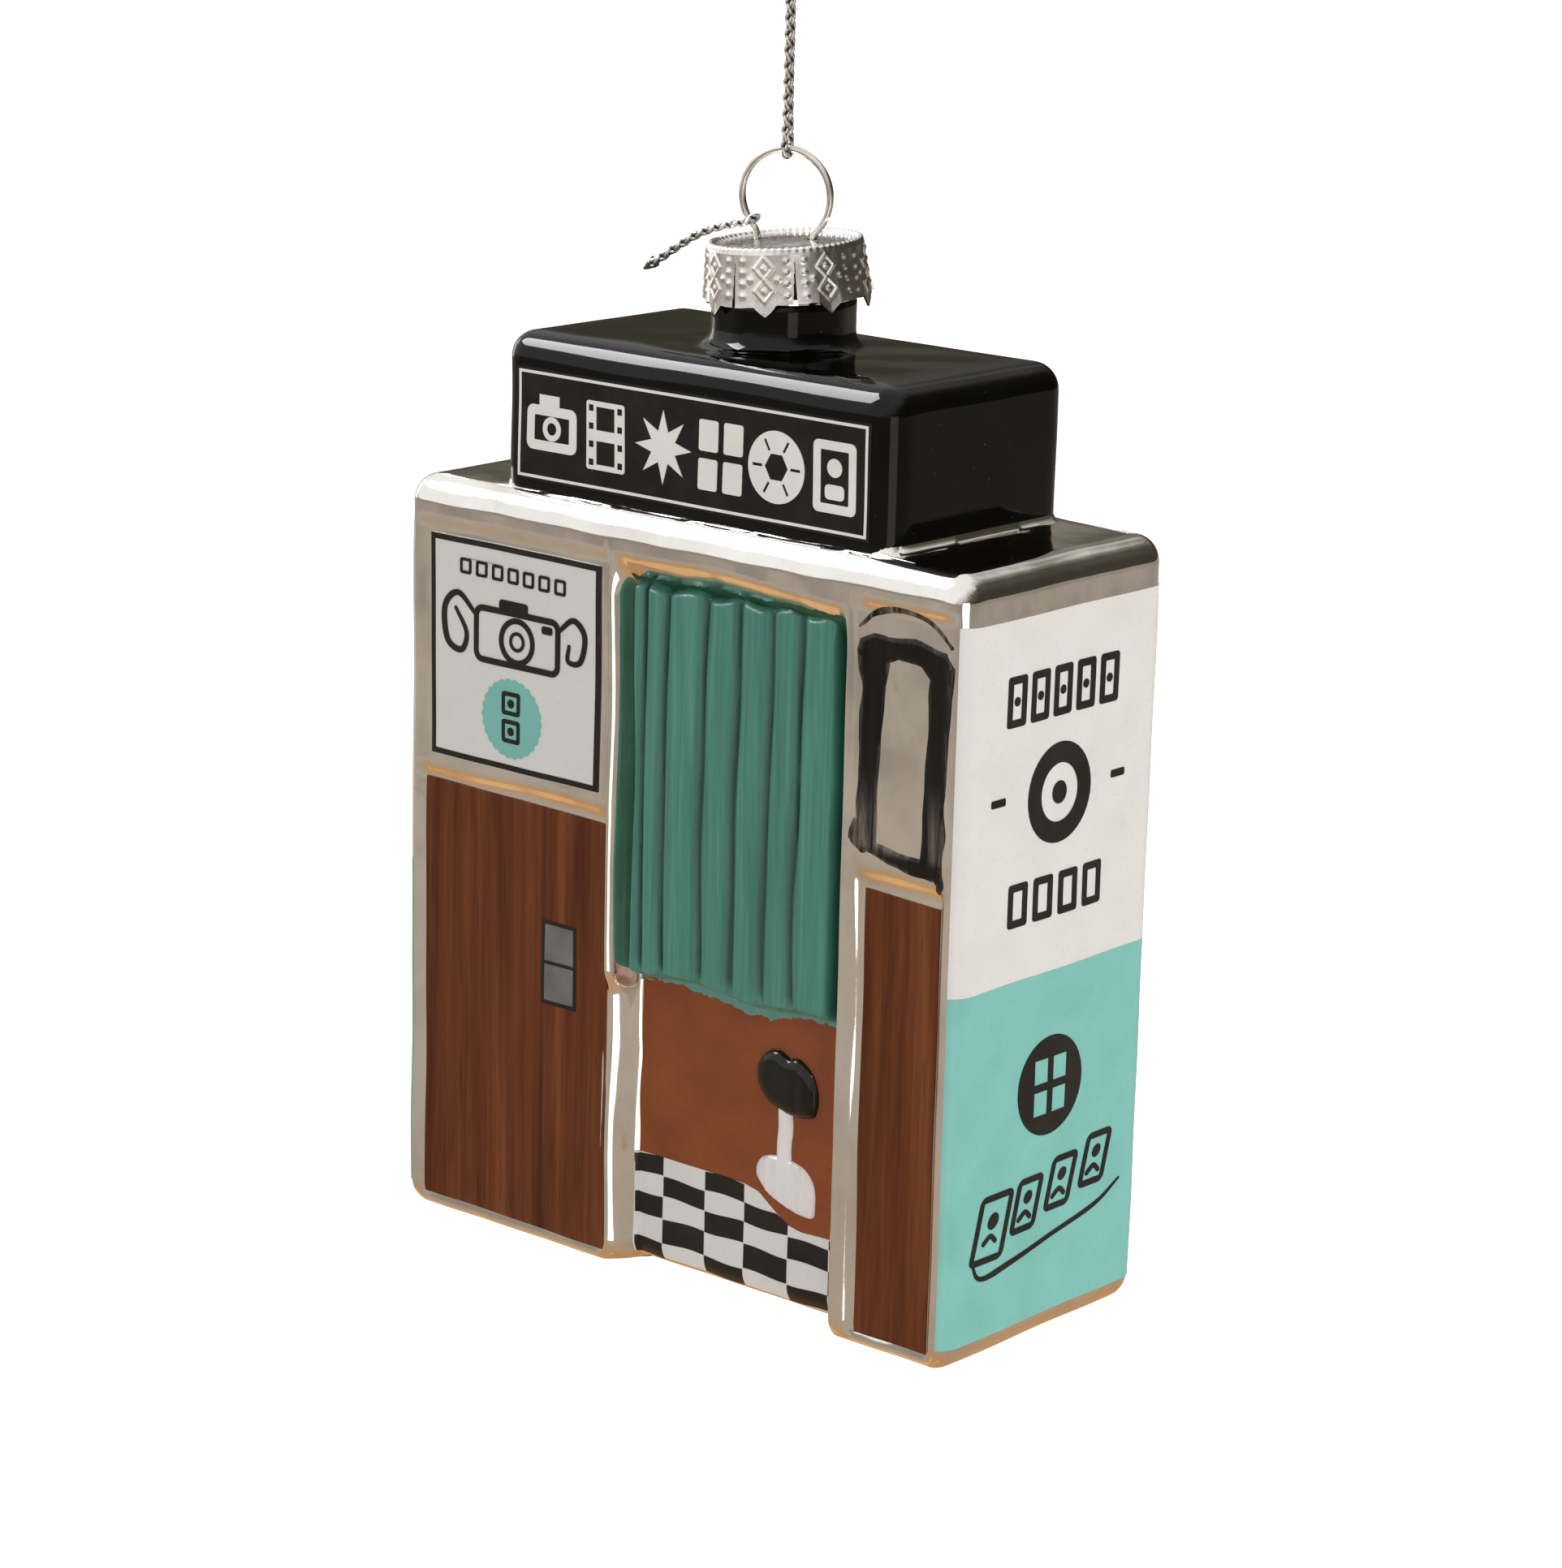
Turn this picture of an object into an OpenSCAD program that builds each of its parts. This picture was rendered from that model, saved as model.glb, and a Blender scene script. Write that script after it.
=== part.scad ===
// Hanging glass ornament in the shape of a photo booth: a hollow blown-glass booth with a
// sign box and neck in one piece, painted and printed layers on it, a slit metal crown cap,
// a sprung wire hanger, a braided hanging cord and a short braided tag loop.

/* [Booth] */
// Width of the glass booth
body_w = 81; // [79:0.5:84]
// Depth of the glass booth, front to back
body_d = 35.5; // [34:0.5:38]
// Height of the glass booth up to its shoulders
body_h = 87; // [86:0.5:90]
// Radius of the soft edges of the booth
edge_r = 3; // [2:0.5:3.5]
// Thickness of the blown glass
glass_wall = 1.2; // [0.9:0.1:1.4]

/* [Doorway] */
// Depth of the doorway recess in the front
door_depth = 4.6; // [4:0.1:5]
// Height of the top of the doorway recess
door_top = 81.5; // [80:0.5:82]
// Number of folds in the curtain
folds = 7; // [5:1:9]
// Depth of the valleys between the folds
fold_depth = 0.9; // [0.5:0.1:1.1]

/* [Sign box and neck] */
// Width of the sign box
sign_w = 55.8; // [54:0.2:57]
// Depth of the sign box
sign_d = 30; // [28:0.5:31]
// Height of the sign box above the shoulders
sign_h = 17.4; // [16:0.2:19]
// Outer radius of the glass neck
neck_r = 7.8; // [7.6:0.1:7.9]
// Height of the neck above the sign box
neck_h = 10.2; // [10:0.1:10.4]

/* [Crown cap] */
// Outer radius of the cap at its top
cap_r = 8.8; // [8.7:0.1:9.2]
// Height of the cap from its top to the slit edge
cap_h = 5.9; // [5.5:0.1:6.5]
// How far the crimped cap sits askew, in degrees
cap_lean = 3; // [0:1:3]
// Number of slits in the skirt
slits = 8; // [6:2:10]

/* [Wire hanger] */
// Radius of the ring, to the middle of the wire
ring_r = 5.15; // [5:0.05:5.4]
// Radius of the wire
wire_r = 0.4; // [0.35:0.05:0.45]
// Distance of each wire hole from the middle of the cap
hole_x = 3.3; // [3.2:0.1:3.5]
// Turn of the ring about the vertical, in degrees
ring_turn = 17.5; // [10:0.5:25]

/* [Cords] */
// Diameter of the braided cord
cord_d = 0.84; // [0.7:0.02:0.9]

/* [Layers] */
// Thickness of an enamel coat
coat = 0.2; // [0.15:0.05:0.3]
// Thickness of a printed transfer or a print on top of one
film = 0.15; // [0.1:0.05:0.2]

/* [Hidden] */

$fn = 48;
eps = 0.01;

// The front face, and the heights that stack up from the underside of the booth
front = -body_d / 2;
sign_top = body_h + sign_h;
neck_top = sign_top + neck_h;
cap_top = sign_top + 11.3;
cap_plate = 0.4;
ring_z = cap_top + 4.9;
ring_top = ring_z + ring_r;
// The eye of the hanging cord bears on its hook at this height, which is the origin
hang_h = ring_top + 29.45;

// Doorway recess: its back wall runs between these, and its side walls splay outwards
door_left = -6.7;
door_right = 23.2;
door_draft = 1.3;
door_back = front + door_depth;

// Curtain: outer faces of its enamel
curtain_left = -5.9;
curtain_right = 22.3;
curtain_bottom = 34.2;
curtain_top = 79.6;
curtain_front = front + 1.2;
fold_steps = 8;

// Height at which the upper panels end and the lower panels begin
panel_split = 42.1;
panel_bottom = 3;
panel_top = 81.3;
panel_wrap = 1.7;
side_x = body_w / 2 + coat;

teal = [0.33, 0.74, 0.69];
curtain_green = [0.16, 0.49, 0.41];
off_white = [0.91, 0.89, 0.86];
ink = [0.1, 0.09, 0.08];
wood_brown = [0.42, 0.2, 0.11];
silver = [0.78, 0.76, 0.72];

// ---------------------------------------------------------------- shared shapes

// Everything below is laid out from the underside of the booth and hung from the origin.
module hung() {
    translate([0, 0, -hang_h]) children();
}

// The ring, its cords and the two wire holes lie in a plane turned about the vertical.
module in_ring_plane() {
    rotate([0, 0, ring_turn]) children();
}

// A box whose twelve edges are rounded: where three rounded bars cross
module rounded_box(w, d, z0, z1, r) {
    h = z1 - z0;
    translate([0, 0, (z0 + z1) / 2]) intersection() {
        linear_extrude(h, center = true) rounded_rect(w, d, r);
        rotate([90, 0, 0]) linear_extrude(d, center = true) rounded_rect(w, h, r);
        rotate([90, 0, 90]) linear_extrude(w, center = true) rounded_rect(d, h, r);
    }
}

module rounded_rect(w, d, r) {
    square([w - 2 * r, d], center = true);
    square([w, d - 2 * r], center = true);
    for (x = [-1, 1], y = [-1, 1])
        translate([x * (w / 2 - r), y * (d / 2 - r)]) circle(r);
}

// A slab on a face that looks towards -Y, drawn in X and Z, whose back lies at y.
module front_slab(y, thickness) {
    translate([0, y, 0]) rotate([90, 0, 0]) linear_extrude(thickness) children();
}

// A slab on the side wall that looks towards +X, drawn in Y and Z, whose back lies at x.
module side_slab(x, thickness) {
    translate([x, 0, 0]) rotate([90, 0, 90]) linear_extrude(thickness) children();
}

module span(x0, x1, y0, y1) {
    translate([x0, y0]) square([x1 - x0, y1 - y0]);
}

module outline(x0, x1, y0, y1, line) {
    difference() {
        span(x0, x1, y0, y1);
        span(x0 + line, x1 - line, y0 + line, y1 - line);
    }
}

module annulus(outer, inner) {
    difference() {
        circle(outer);
        circle(inner);
    }
}

// A straight round rod between two points, with a ball at its far end.
module rod(a, b, r) {
    v = b - a;
    translate(a) rotate([0, acos(v.z / norm(v)), atan2(v.y, v.x)]) cylinder(h = norm(v), r = r);
    translate(b) sphere(r + 0.02);
}

// ---------------------------------------------------------------- cords

// Hanging cord: doubled, from the knot down one side, under the ring's wire, up the other
// side, through the knot and round the eye. Each point is along the ring, across it, up.
cord_half = cord_d / 2;
cord_gap = 0.5;
bight_r = wire_r + cord_half + 0.06;
hanging_route = concat(
    [[0, cord_gap, 144.6], [0, cord_gap, 141.5], [0, cord_gap, 138.5], [0, cord_gap, 135.5]],
    [[0, cord_gap, 132.5], [0, 0.55, 130], [0, 0.7, 128], [0, 0.85, 126.5]],
    [for (a = [0:-36:-180]) [0, bight_r * cos(a), ring_top + bight_r * sin(a)]],
    [[0, -0.85, 126.5], [0, -0.7, 128], [0, -0.55, 130], [0, -cord_gap, 132.5]],
    [[0, -cord_gap, 135.5], [0, -cord_gap, 138.5], [0, -cord_gap, 141.5], [0, -cord_gap, 144.6]],
    [[-0.9, -0.3, 146.6], [-2.6, 0, 148.6], [-3.8, 0, 151], [-3.7, 0, 153.4], [-2.2, 0, 155]],
    [[0, 0, 155.6], [2.2, 0, 155], [3.7, 0, 153.4], [3.8, 0, 151], [2.6, 0, 148.6]],
    [[1, 0.3, 146.6], [0.4, 0.6, 145.5]]
);

// Tag loop: from its fused tip over the cap's rim to the ring, round the wire and back.
tag_x = -4.2;
tag_z = ring_z - sqrt(ring_r * ring_r - tag_x * tag_x);
tag_out = [tag_x, tag_z - ring_z] / ring_r;
tag_strand = [
    [-15.8, 0.44, 112.1], [-14.2, 0.45, 113.2], [-12.5, 0.46, 114.4], [-10.6, 0.48, 115.6],
    [-8.8, 0.52, 116.4], [-7.2, 0.62, 116.9], [-5.6, 0.78, 117.3]
];
tag_route = concat(
    tag_strand,
    [for (a = [0:36:180]) [
        tag_x - bight_r * sin(a) * tag_out.x,
        bight_r * cos(a),
        tag_z - bight_r * sin(a) * tag_out.y
    ]],
    [for (i = [len(tag_strand) - 1:-1:0]) [tag_strand[i].x, -tag_strand[i].y, tag_strand[i].z]]
);

function unit(v) = v / norm(v);

// Direction of a route at its point i
function along(p, i) = unit(p[min(i + 1, len(p) - 1)] - p[max(i - 1, 0)]);

// A vector across the route at each point, carried along without twist
function carried(p, i = 0, last = undef) =
    i == len(p) ? [] :
    let(
        t = along(p, i),
        from = is_undef(last) ? (abs(t.x) < 0.9 ? [1, 0, 0] : [0, 1, 0]) : last,
        across = unit(from - (from * t) * t)
    )
    concat([across], carried(p, i + 1, across));

module tube(p, r, sides = 8) {
    across = carried(p);
    rings = [
        for (i = [0:len(p) - 1], k = [0:sides - 1])
            let(a = 360 * k / sides, u = across[i], v = cross(along(p, i), u))
            p[i] + r * (cos(a) * u + sin(a) * v)
    ];
    last = (len(p) - 1) * sides;
    walls = [
        for (i = [0:len(p) - 2], k = [0:sides - 1])
            let(a = i * sides + k, b = i * sides + (k + 1) % sides)
            [a, a + sides, b + sides, b]
    ];
    caps = [[for (k = [0:sides - 1]) k], [for (k = [sides - 1:-1:0]) last + k]];
    polyhedron(rings, concat(walls, caps), convexity = 6);
}

module hanging_cord() {
    color(silver) hung() in_ring_plane() tube(hanging_route, cord_half);
}

// Overhand knot that closes the eye: three turns of cord wound round both strands
module cord_knot() {
    turn_r = 1.05;
    low_turn = 144.1;
    color(silver) hung() in_ring_plane()
        for (i = [0:2])
            translate([0, 0, low_turn + i * (cord_d + eps)])
                rotate_extrude() translate([turn_r, 0]) circle(cord_half, $fn = 24);
}

module tag_loop() {
    color(silver) hung() in_ring_plane() tube(tag_route, cord_half);
}

// Fused, pointed end of the tag loop
module tag_loop_tip() {
    tip_axis = unit(tag_strand[0] - tag_strand[1]);
    slope = atan2(-tip_axis.z, -tip_axis.x);
    tip_length = 1.7;
    color([0.28, 0.25, 0.22]) hung() in_ring_plane()
        translate([tag_strand[0].x, 0, tag_strand[0].z]) rotate([0, -90 - slope, 0])
            translate([0, 0, -0.4]) cylinder(h = tip_length, r1 = 0.95, r2 = 0.12);
}

// ---------------------------------------------------------------- metal parts

// One wire: the ring, then both legs down through the cap, splayed to spring in the neck
module wire_hanger() {
    end_angle = acos(hole_x / ring_r);
    ring_end = ring_z - sqrt(ring_r * ring_r - hole_x * hole_x);
    bend_z = cap_top - 1.4;
    leg_end = [5.3, neck_top - 8];
    color(silver) hung() in_ring_plane() {
        translate([0, 0, ring_z]) rotate([90, 0, 0]) rotate([0, 0, -end_angle])
            rotate_extrude(angle = 180 + 2 * end_angle) translate([ring_r, 0]) circle(wire_r);
        for (side = [-1, 1]) {
            translate([side * hole_x, 0, ring_end]) sphere(wire_r + 0.03);
            rod([side * hole_x, 0, ring_end], [side * hole_x, 0, bend_z], wire_r);
            rod([side * hole_x, 0, bend_z], [side * leg_end.x, 0, leg_end.y], wire_r);
        }
    }
}

// Slit crown cap: a plate with two wire holes, and a skirt cut into pointed tabs
module crown_cap() {
    skirt = 0.35;
    flare = 0.35;
    tip = 1.1;
    slit_w = 0.3;
    slit_top = cap_top - 1.4;
    slit_turn = 2;
    hole_r = 0.75;
    bottom = cap_top - cap_h;
    rim = 0.25;
    tab = 180 / slits;
    notch = cap_r * tan(tab) * 0.65;
    cut = cap_r * tan(tab) * 0.97;
    color([0.8, 0.79, 0.77]) hung() difference() {
        translate([0, 0, cap_top]) rotate(a = cap_lean, v = [sin(40), -cos(40), 0])
            translate([0, 0, -cap_top]) difference() {
                rotate_extrude() polygon([
                    [0, cap_top], [cap_r - 0.9, cap_top], [cap_r - 0.7, cap_top + rim],
                    [cap_r - 0.3, cap_top + rim], [cap_r, cap_top - 0.3],
                    [cap_r + flare, bottom - tip], [cap_r + flare - skirt, bottom - tip],
                    [cap_r - skirt, cap_top - cap_plate - 0.2],
                    [cap_r - skirt - 0.2, cap_top - cap_plate], [0, cap_top - cap_plate]
                ]);
                for (k = [0:slits - 1]) rotate([0, 0, slit_turn + k * 360 / slits]) {
                    translate([cap_r - 2, -slit_w / 2, bottom - 2])
                        cube([4, slit_w, slit_top - bottom + 2]);
                    translate([cap_r - 2, 0, bottom]) rotate([90, 0, 90]) linear_extrude(4)
                        polygon([[-cut, -tip - eps], [cut, -tip - eps], [notch, 0], [-notch, 0]]);
                }
            }
        in_ring_plane() for (x = [-hole_x, hole_x])
            translate([x, 0, cap_top - 2]) cylinder(h = 4, r = hole_r);
    }
}

// ---------------------------------------------------------------- glass

// Plan of the doorway recess, grown by a wall's thickness where asked
module doorway(z0, z1, grow = 0) {
    back = door_back + grow;
    splay = door_draft * (door_depth + 2 + grow) / door_depth;
    translate([0, 0, z0]) linear_extrude(z1 - z0) polygon([
        [door_left - grow - splay, front - 2], [door_right + grow + splay, front - 2],
        [door_right + grow, back], [door_left - grow, back]
    ]);
}

// Solid of the hanging curtain in plan: rounded folds with narrow valleys between them
module curtain_solid(inset, z0, z1) {
    x0 = curtain_left + inset;
    width = curtain_right - curtain_left - 2 * inset;
    count = folds * fold_steps;
    translate([0, 0, z0]) linear_extrude(z1 - z0) polygon(concat(
        [for (i = [0:count])
            [x0 + width * i / count,
             curtain_front + inset + fold_depth * (1 - abs(sin(180 * i / fold_steps)))]],
        [[x0 + width, door_back + 0.4], [x0, door_back + 0.4]]
    ));
}

module booth_hollow() {
    difference() {
        rounded_box(
            body_w - 2 * glass_wall, body_d - 2 * glass_wall,
            glass_wall, body_h - glass_wall, edge_r - glass_wall + 0.6
        );
        doorway(-1, door_top + glass_wall, glass_wall);
    }
}

// Hollow behind the curtain's folds
module curtain_hollow() {
    margin = 1.6;
    depth = curtain_front + fold_depth + glass_wall + coat;
    translate([curtain_left + margin, depth, curtain_bottom + margin])
        cube([
            curtain_right - curtain_left - 2 * margin,
            door_back + glass_wall + 1 - depth,
            curtain_top - curtain_bottom - 2 * margin
        ]);
}

module glass_body() {
    groove_r = 0.9;
    groove_z = 53.4;
    color([0.83, 0.8, 0.74]) hung() difference() {
        union() {
            difference() {
                union() {
                    rounded_box(body_w, body_d, 0, body_h, edge_r);
                    rounded_box(sign_w, sign_d, body_h - 10, sign_top, edge_r);
                    translate([0, 0, sign_top - 2]) cylinder(h = neck_h + 2, r = neck_r);
                    translate([0, 0, sign_top - eps])
                        cylinder(h = 1.4, r1 = neck_r + 1.2, r2 = neck_r - 0.2);
                }
                doorway(-1, door_top);
            }
            curtain_solid(coat, curtain_bottom + coat, curtain_top - coat);
        }
        booth_hollow();
        curtain_hollow();
        rounded_box(
            sign_w - 2 * glass_wall, sign_d - 2 * glass_wall,
            door_top + glass_wall, sign_top - glass_wall, edge_r - glass_wall + 0.6
        );
        translate([0, 0, sign_top - 4]) cylinder(h = neck_h + 5, r = neck_r - glass_wall);
        for (x = [[-body_w / 2 - 1, door_left - 3.2], [door_right + 3, body_w / 2 + 1]])
            translate([x[0], front - 0.3, groove_z]) rotate([0, 90, 0])
                cylinder(h = x[1] - x[0], r = groove_r);
    }
}

// ---------------------------------------------------------------- enamel and prints

// Black enamel over the sign box and the visible neck
module sign_enamel() {
    neck_coat_top = cap_top - cap_h - 1.4;
    color(ink) hung() difference() {
        union() {
            rounded_box(
                sign_w + 2 * coat, sign_d + 2 * coat,
                body_h - 9, sign_top + coat, edge_r + coat
            );
            translate([0, 0, sign_top]) cylinder(h = neck_coat_top - sign_top, r = neck_r + coat);
            translate([0, 0, sign_top]) cylinder(h = 1.6, r1 = neck_r + 1.6, r2 = neck_r);
        }
        translate([-50, -50, body_h - 20]) cube([100, 100, 20]);
        rounded_box(sign_w, sign_d, body_h - 10, sign_top, edge_r);
        translate([0, 0, sign_top - 2]) cylinder(h = neck_h + 4, r = neck_r);
        translate([0, 0, sign_top - eps]) cylinder(h = 1.4, r1 = neck_r + 1.2, r2 = neck_r - 0.2);
    }
}

sign_face = -sign_d / 2 - coat;
sign_x = 24.8;
sign_low = 88.1;
sign_high = 100.7;

module sign_field() {
    color([0.03, 0.03, 0.03]) hung()
        front_slab(sign_face, film) span(-sign_x, sign_x, sign_low, sign_high);
}

module sign_border() {
    margin = 0.3;
    color("white") hung() front_slab(sign_face - film, film)
        outline(-sign_x + margin, sign_x - margin, sign_low + margin, sign_high - margin, 0.3);
}

// Six plain pictograms: camera, film strip, flash, four photos, lens and portrait frame
module sign_pictograms() {
    mid = (sign_low + sign_high) / 2;
    line = 1.1;
    color("white") hung() front_slab(sign_face - film, film) {
        translate([-20, mid]) camera_sign(7.4, 5.4, line);
        translate([-12, mid]) film_sign(5.6, 7.6);
        translate([-3.6, mid]) flash_sign(4.1, 8);
        translate([4.6, mid]) photos_sign(6.2, 7.6, 0.8);
        translate([12.4, mid]) lens_sign(3.9, 1.7);
        translate([20.4, mid]) portrait_sign(5.8, 7.8, line);
    }
}

module camera_sign(w, h, line) {
    outline(-w / 2, w / 2, -h / 2, h / 2, line);
    circle(h / 5);
    span(-w / 4, w / 8, h / 2 - eps, h / 2 + line);
}

module film_sign(w, h) {
    window = h / 2 - 1.2;
    hole = 0.7;
    difference() {
        span(-w / 2, w / 2, -h / 2, h / 2);
        for (y = [-h / 4, h / 4]) span(-w / 4, w / 4, y - window / 2, y + window / 2);
        for (x = [-w / 2 + hole, w / 2 - hole], y = [-3:2:3])
            span(x - hole / 2, x + hole / 2, y - hole / 2, y + hole / 2);
    }
}

module flash_sign(r, rays) {
    polygon([
        for (i = [0:2 * rays - 1])
            let (a = 180 * i / rays, reach = i % 2 == 0 ? r : 0.45 * r)
                [reach * cos(a), reach * sin(a)]
    ]);
}

module photos_sign(w, h, gap) {
    for (x = [-w / 2, gap / 2], y = [-h / 2, gap / 2])
        span(x, x + (w - gap) / 2, y, y + (h - gap) / 2);
}

module lens_sign(r, opening) {
    slit = 0.3;
    difference() {
        circle(r);
        polygon([for (a = [0:60:300]) [opening * cos(a), opening * sin(a)]]);
        for (a = [0:60:300]) rotate(a) span(opening - 2 * slit, r - 0.6, -slit / 2, slit / 2);
    }
}

module portrait_sign(w, h, line) {
    outline(-w / 2, w / 2, -h / 2, h / 2, line);
    translate([0, h / 8]) circle(0.95);
    span(-1.3, 1.3, -h / 2 + line - eps, -h / 8);
}

poster_left = -36.1;
poster_right = -10.4;
poster_low = 55.1;
poster_high = 80.8;
badge_at = [-23.5, 61.2];

module poster_sheet() {
    color(off_white) hung()
        front_slab(front, film) span(poster_left, poster_right, poster_low, poster_high);
}

module poster_border() {
    color(ink) hung() front_slab(front - film, film)
        outline(poster_left + 0.3, poster_right - 0.3, poster_low + 0.3, poster_high - 0.3, 0.35);
}

// Line drawing of a camera under a row of small frames
module poster_drawing() {
    mid = (poster_left + poster_right) / 2;
    color(ink) hung() front_slab(front - film, film) {
        for (i = [-3:3]) translate([mid + i * 2.4, 77.6]) outline(-0.9, 0.9, -0.9, 0.9, 0.35);
        translate([mid, 70.4]) {
            outline(-6.6, 6.6, -3.7, 3.7, 0.6);
            annulus(2.6, 2);
            circle(0.8);
            span(-3, 0.6, 3.7 - eps, 4.7);
            span(4, 5.4, 1.5, 2.4);
        }
    }
}

// Scalloped badge
module poster_badge() {
    scallops = 18;
    color(teal) hung() translate([badge_at.x, 0, badge_at.y]) front_slab(front - film, film) {
        circle(4.1);
        for (k = [0:scallops - 1]) rotate(k * 360 / scallops) translate([3.9, 0]) circle(0.7);
    }
}

module left_wood_panel() {
    color(wood_brown) hung() front_slab(front, film) span(-37, -9.1, panel_bottom, 51.8);
}

// Slot where the finished strip drops out: two grey windows in a dark frame
module photo_slot() {
    color(ink) hung() front_slab(front - film, film) difference() {
        span(-19.1, -13.9, 28.9, 38.7);
        span(-18.5, -14.5, 29.5, 33.6);
        span(-18.5, -14.5, 34.1, 38.1);
    }
}

// Coat over the moulded folds, their edges and their hem
module curtain_enamel() {
    color(curtain_green) hung() difference() {
        curtain_solid(0, curtain_bottom, curtain_top);
        curtain_solid(coat, curtain_bottom + coat, curtain_top - coat);
        translate([-50, door_back, 0]) cube([100, 10, 100]);
    }
}

alcove_left = door_left + 0.2;
alcove_right = door_right - 0.2;
floor_line = 13.4;

module alcove_enamel() {
    color([0.6, 0.3, 0.18]) hung()
        front_slab(door_back, coat) span(alcove_left, alcove_right, floor_line, curtain_bottom - 0.1);
}

module floor_sheet() {
    color(off_white) hung()
        front_slab(door_back, coat) span(alcove_left, alcove_right, 0.9, floor_line);
}

// Dark squares of the checked floor, whose columns and rows the printer made unequal
module floor_tiles() {
    across = [alcove_left, -3.3, 2.9, 8.7, 15.2, 21, alcove_right];
    up = [0.9, 3.2, 6.1, 8.65, 11, floor_line];
    gap = 0.03;
    color(ink) hung() front_slab(door_back - coat, film)
        for (i = [0:len(across) - 2], k = [0:len(up) - 2])
            if ((i + k) % 2 == 0)
                span(across[i] + gap, across[i + 1] - gap, up[k] + gap, up[k + 1] - gap);
}

stool_x = 14.4;
stool_back = door_back - coat;

module stool_seat() {
    color(ink) hung() front_slab(stool_back, 1) {
        span(stool_x - 1.6, stool_x + 1.6, 22.6, 29.6);
        for (side = [-1, 1]) translate([stool_x + side * 1.4, 26.1]) circle(3.5);
    }
}

module stool_stem() {
    color(off_white) hung() front_slab(stool_back, 0.6) span(stool_x - 1, stool_x + 1, 17.1, 22.5);
}

module stool_base() {
    color(off_white) hung() front_slab(stool_back - film, 0.8)
        for (side = [-1, 1]) {
            translate([stool_x + side * 1.3, 14.2]) circle(2.8);
            span(stool_x - 1.3, stool_x + 1.3, 11.4, 17);
        }
}

// Brushed enamel frame round the mirror
module mirror_frame() {
    color(ink) hung() front_slab(front, coat) outline(26.4, 37.4, 54.9, 78.4, 2.4);
}

module right_wood_panel() {
    color(wood_brown) hung() front_slab(front, film) span(27.5, 37.5, panel_bottom, 51);
}

// A film round one side wall, from the start of the front corner to the end of the back one
module side_panel(side, z0, z1) {
    limit = body_w / 2 - panel_wrap;
    intersection() {
        translate([0, 0, z0]) linear_extrude(z1 - z0) difference() {
            rounded_rect(body_w + 2 * coat, body_d + 2 * coat, edge_r + coat);
            rounded_rect(body_w, body_d, edge_r);
        }
        translate([side * (limit + 10), 0, (z0 + z1) / 2])
            cube([20, body_d + 2, z1 - z0], center = true);
    }
}

module right_upper_panel() {
    color(off_white) hung() side_panel(1, panel_split, panel_top);
}

module right_lower_panel() {
    color(teal) hung() side_panel(1, panel_bottom, panel_split);
}

module left_upper_panel() {
    color(off_white) hung() side_panel(-1, panel_split, panel_top);
}

module left_lower_panel() {
    color(teal) hung() side_panel(-1, panel_bottom, panel_split);
}

// Film frames above and below a lens, with a short bar at each side of it
module right_upper_print() {
    color(ink) hung() side_slab(side_x, film) {
        for (i = [-2:2]) translate([-0.8 + i * 3.9, 72.7]) outline(-1.5, 1.5, -2.6, 2.6, 0.8);
        translate([-0.8, 61.8]) {
            annulus(5, 2.9);
            circle(1.2);
        }
        span(-11.5, -9, 61.9, 62.7);
        span(7.2, 9.7, 61.9, 62.7);
        for (i = [-1.5:1.5]) translate([-0.8 + i * 4.2, 50.6]) outline(-1.5, 1.5, -2.2, 2.2, 0.8);
    }
}

// A disc with a two by two strip of frames, above a slanting row of four frames
module right_lower_print() {
    color(ink) hung() side_slab(side_x, film) {
        translate([-0.4, 29.1]) difference() {
            circle(5.6);
            for (x = [-1.5, 1.5], y = [-1.7, 1.7])
                translate([x, y]) span(-1.1, 1.1, -1.3, 1.3);
        }
        for (i = [0:3]) translate([-9.6 + i * 6.2, 14.2 + i * 1.1]) outline(-2.6, 2.6, -3.2, 3.2, 0.7);
    }
}

hanging_cord();
cord_knot();
wire_hanger();
tag_loop();
tag_loop_tip();
crown_cap();
glass_body();
sign_enamel();
sign_field();
sign_border();
sign_pictograms();
poster_sheet();
poster_border();
poster_drawing();
poster_badge();
left_wood_panel();
photo_slot();
curtain_enamel();
alcove_enamel();
floor_sheet();
floor_tiles();
stool_seat();
stool_stem();
stool_base();
mirror_frame();
right_wood_panel();
right_upper_panel();
right_lower_panel();
right_upper_print();
right_lower_print();
left_upper_panel();
left_lower_panel();
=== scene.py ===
"""Looks of a hanging glass ornament in the shape of a photo booth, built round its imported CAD.

Sizes in the tables below are millimetres from the booth's underside, laid out as the CAD lays
them out; place() turns them into metres in the row frame.
"""

import math

import bpy
import numpy as np
from mathutils import Matrix, Vector, kdtree, noise
from mathutils.geometry import delaunay_2d_cdt


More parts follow.
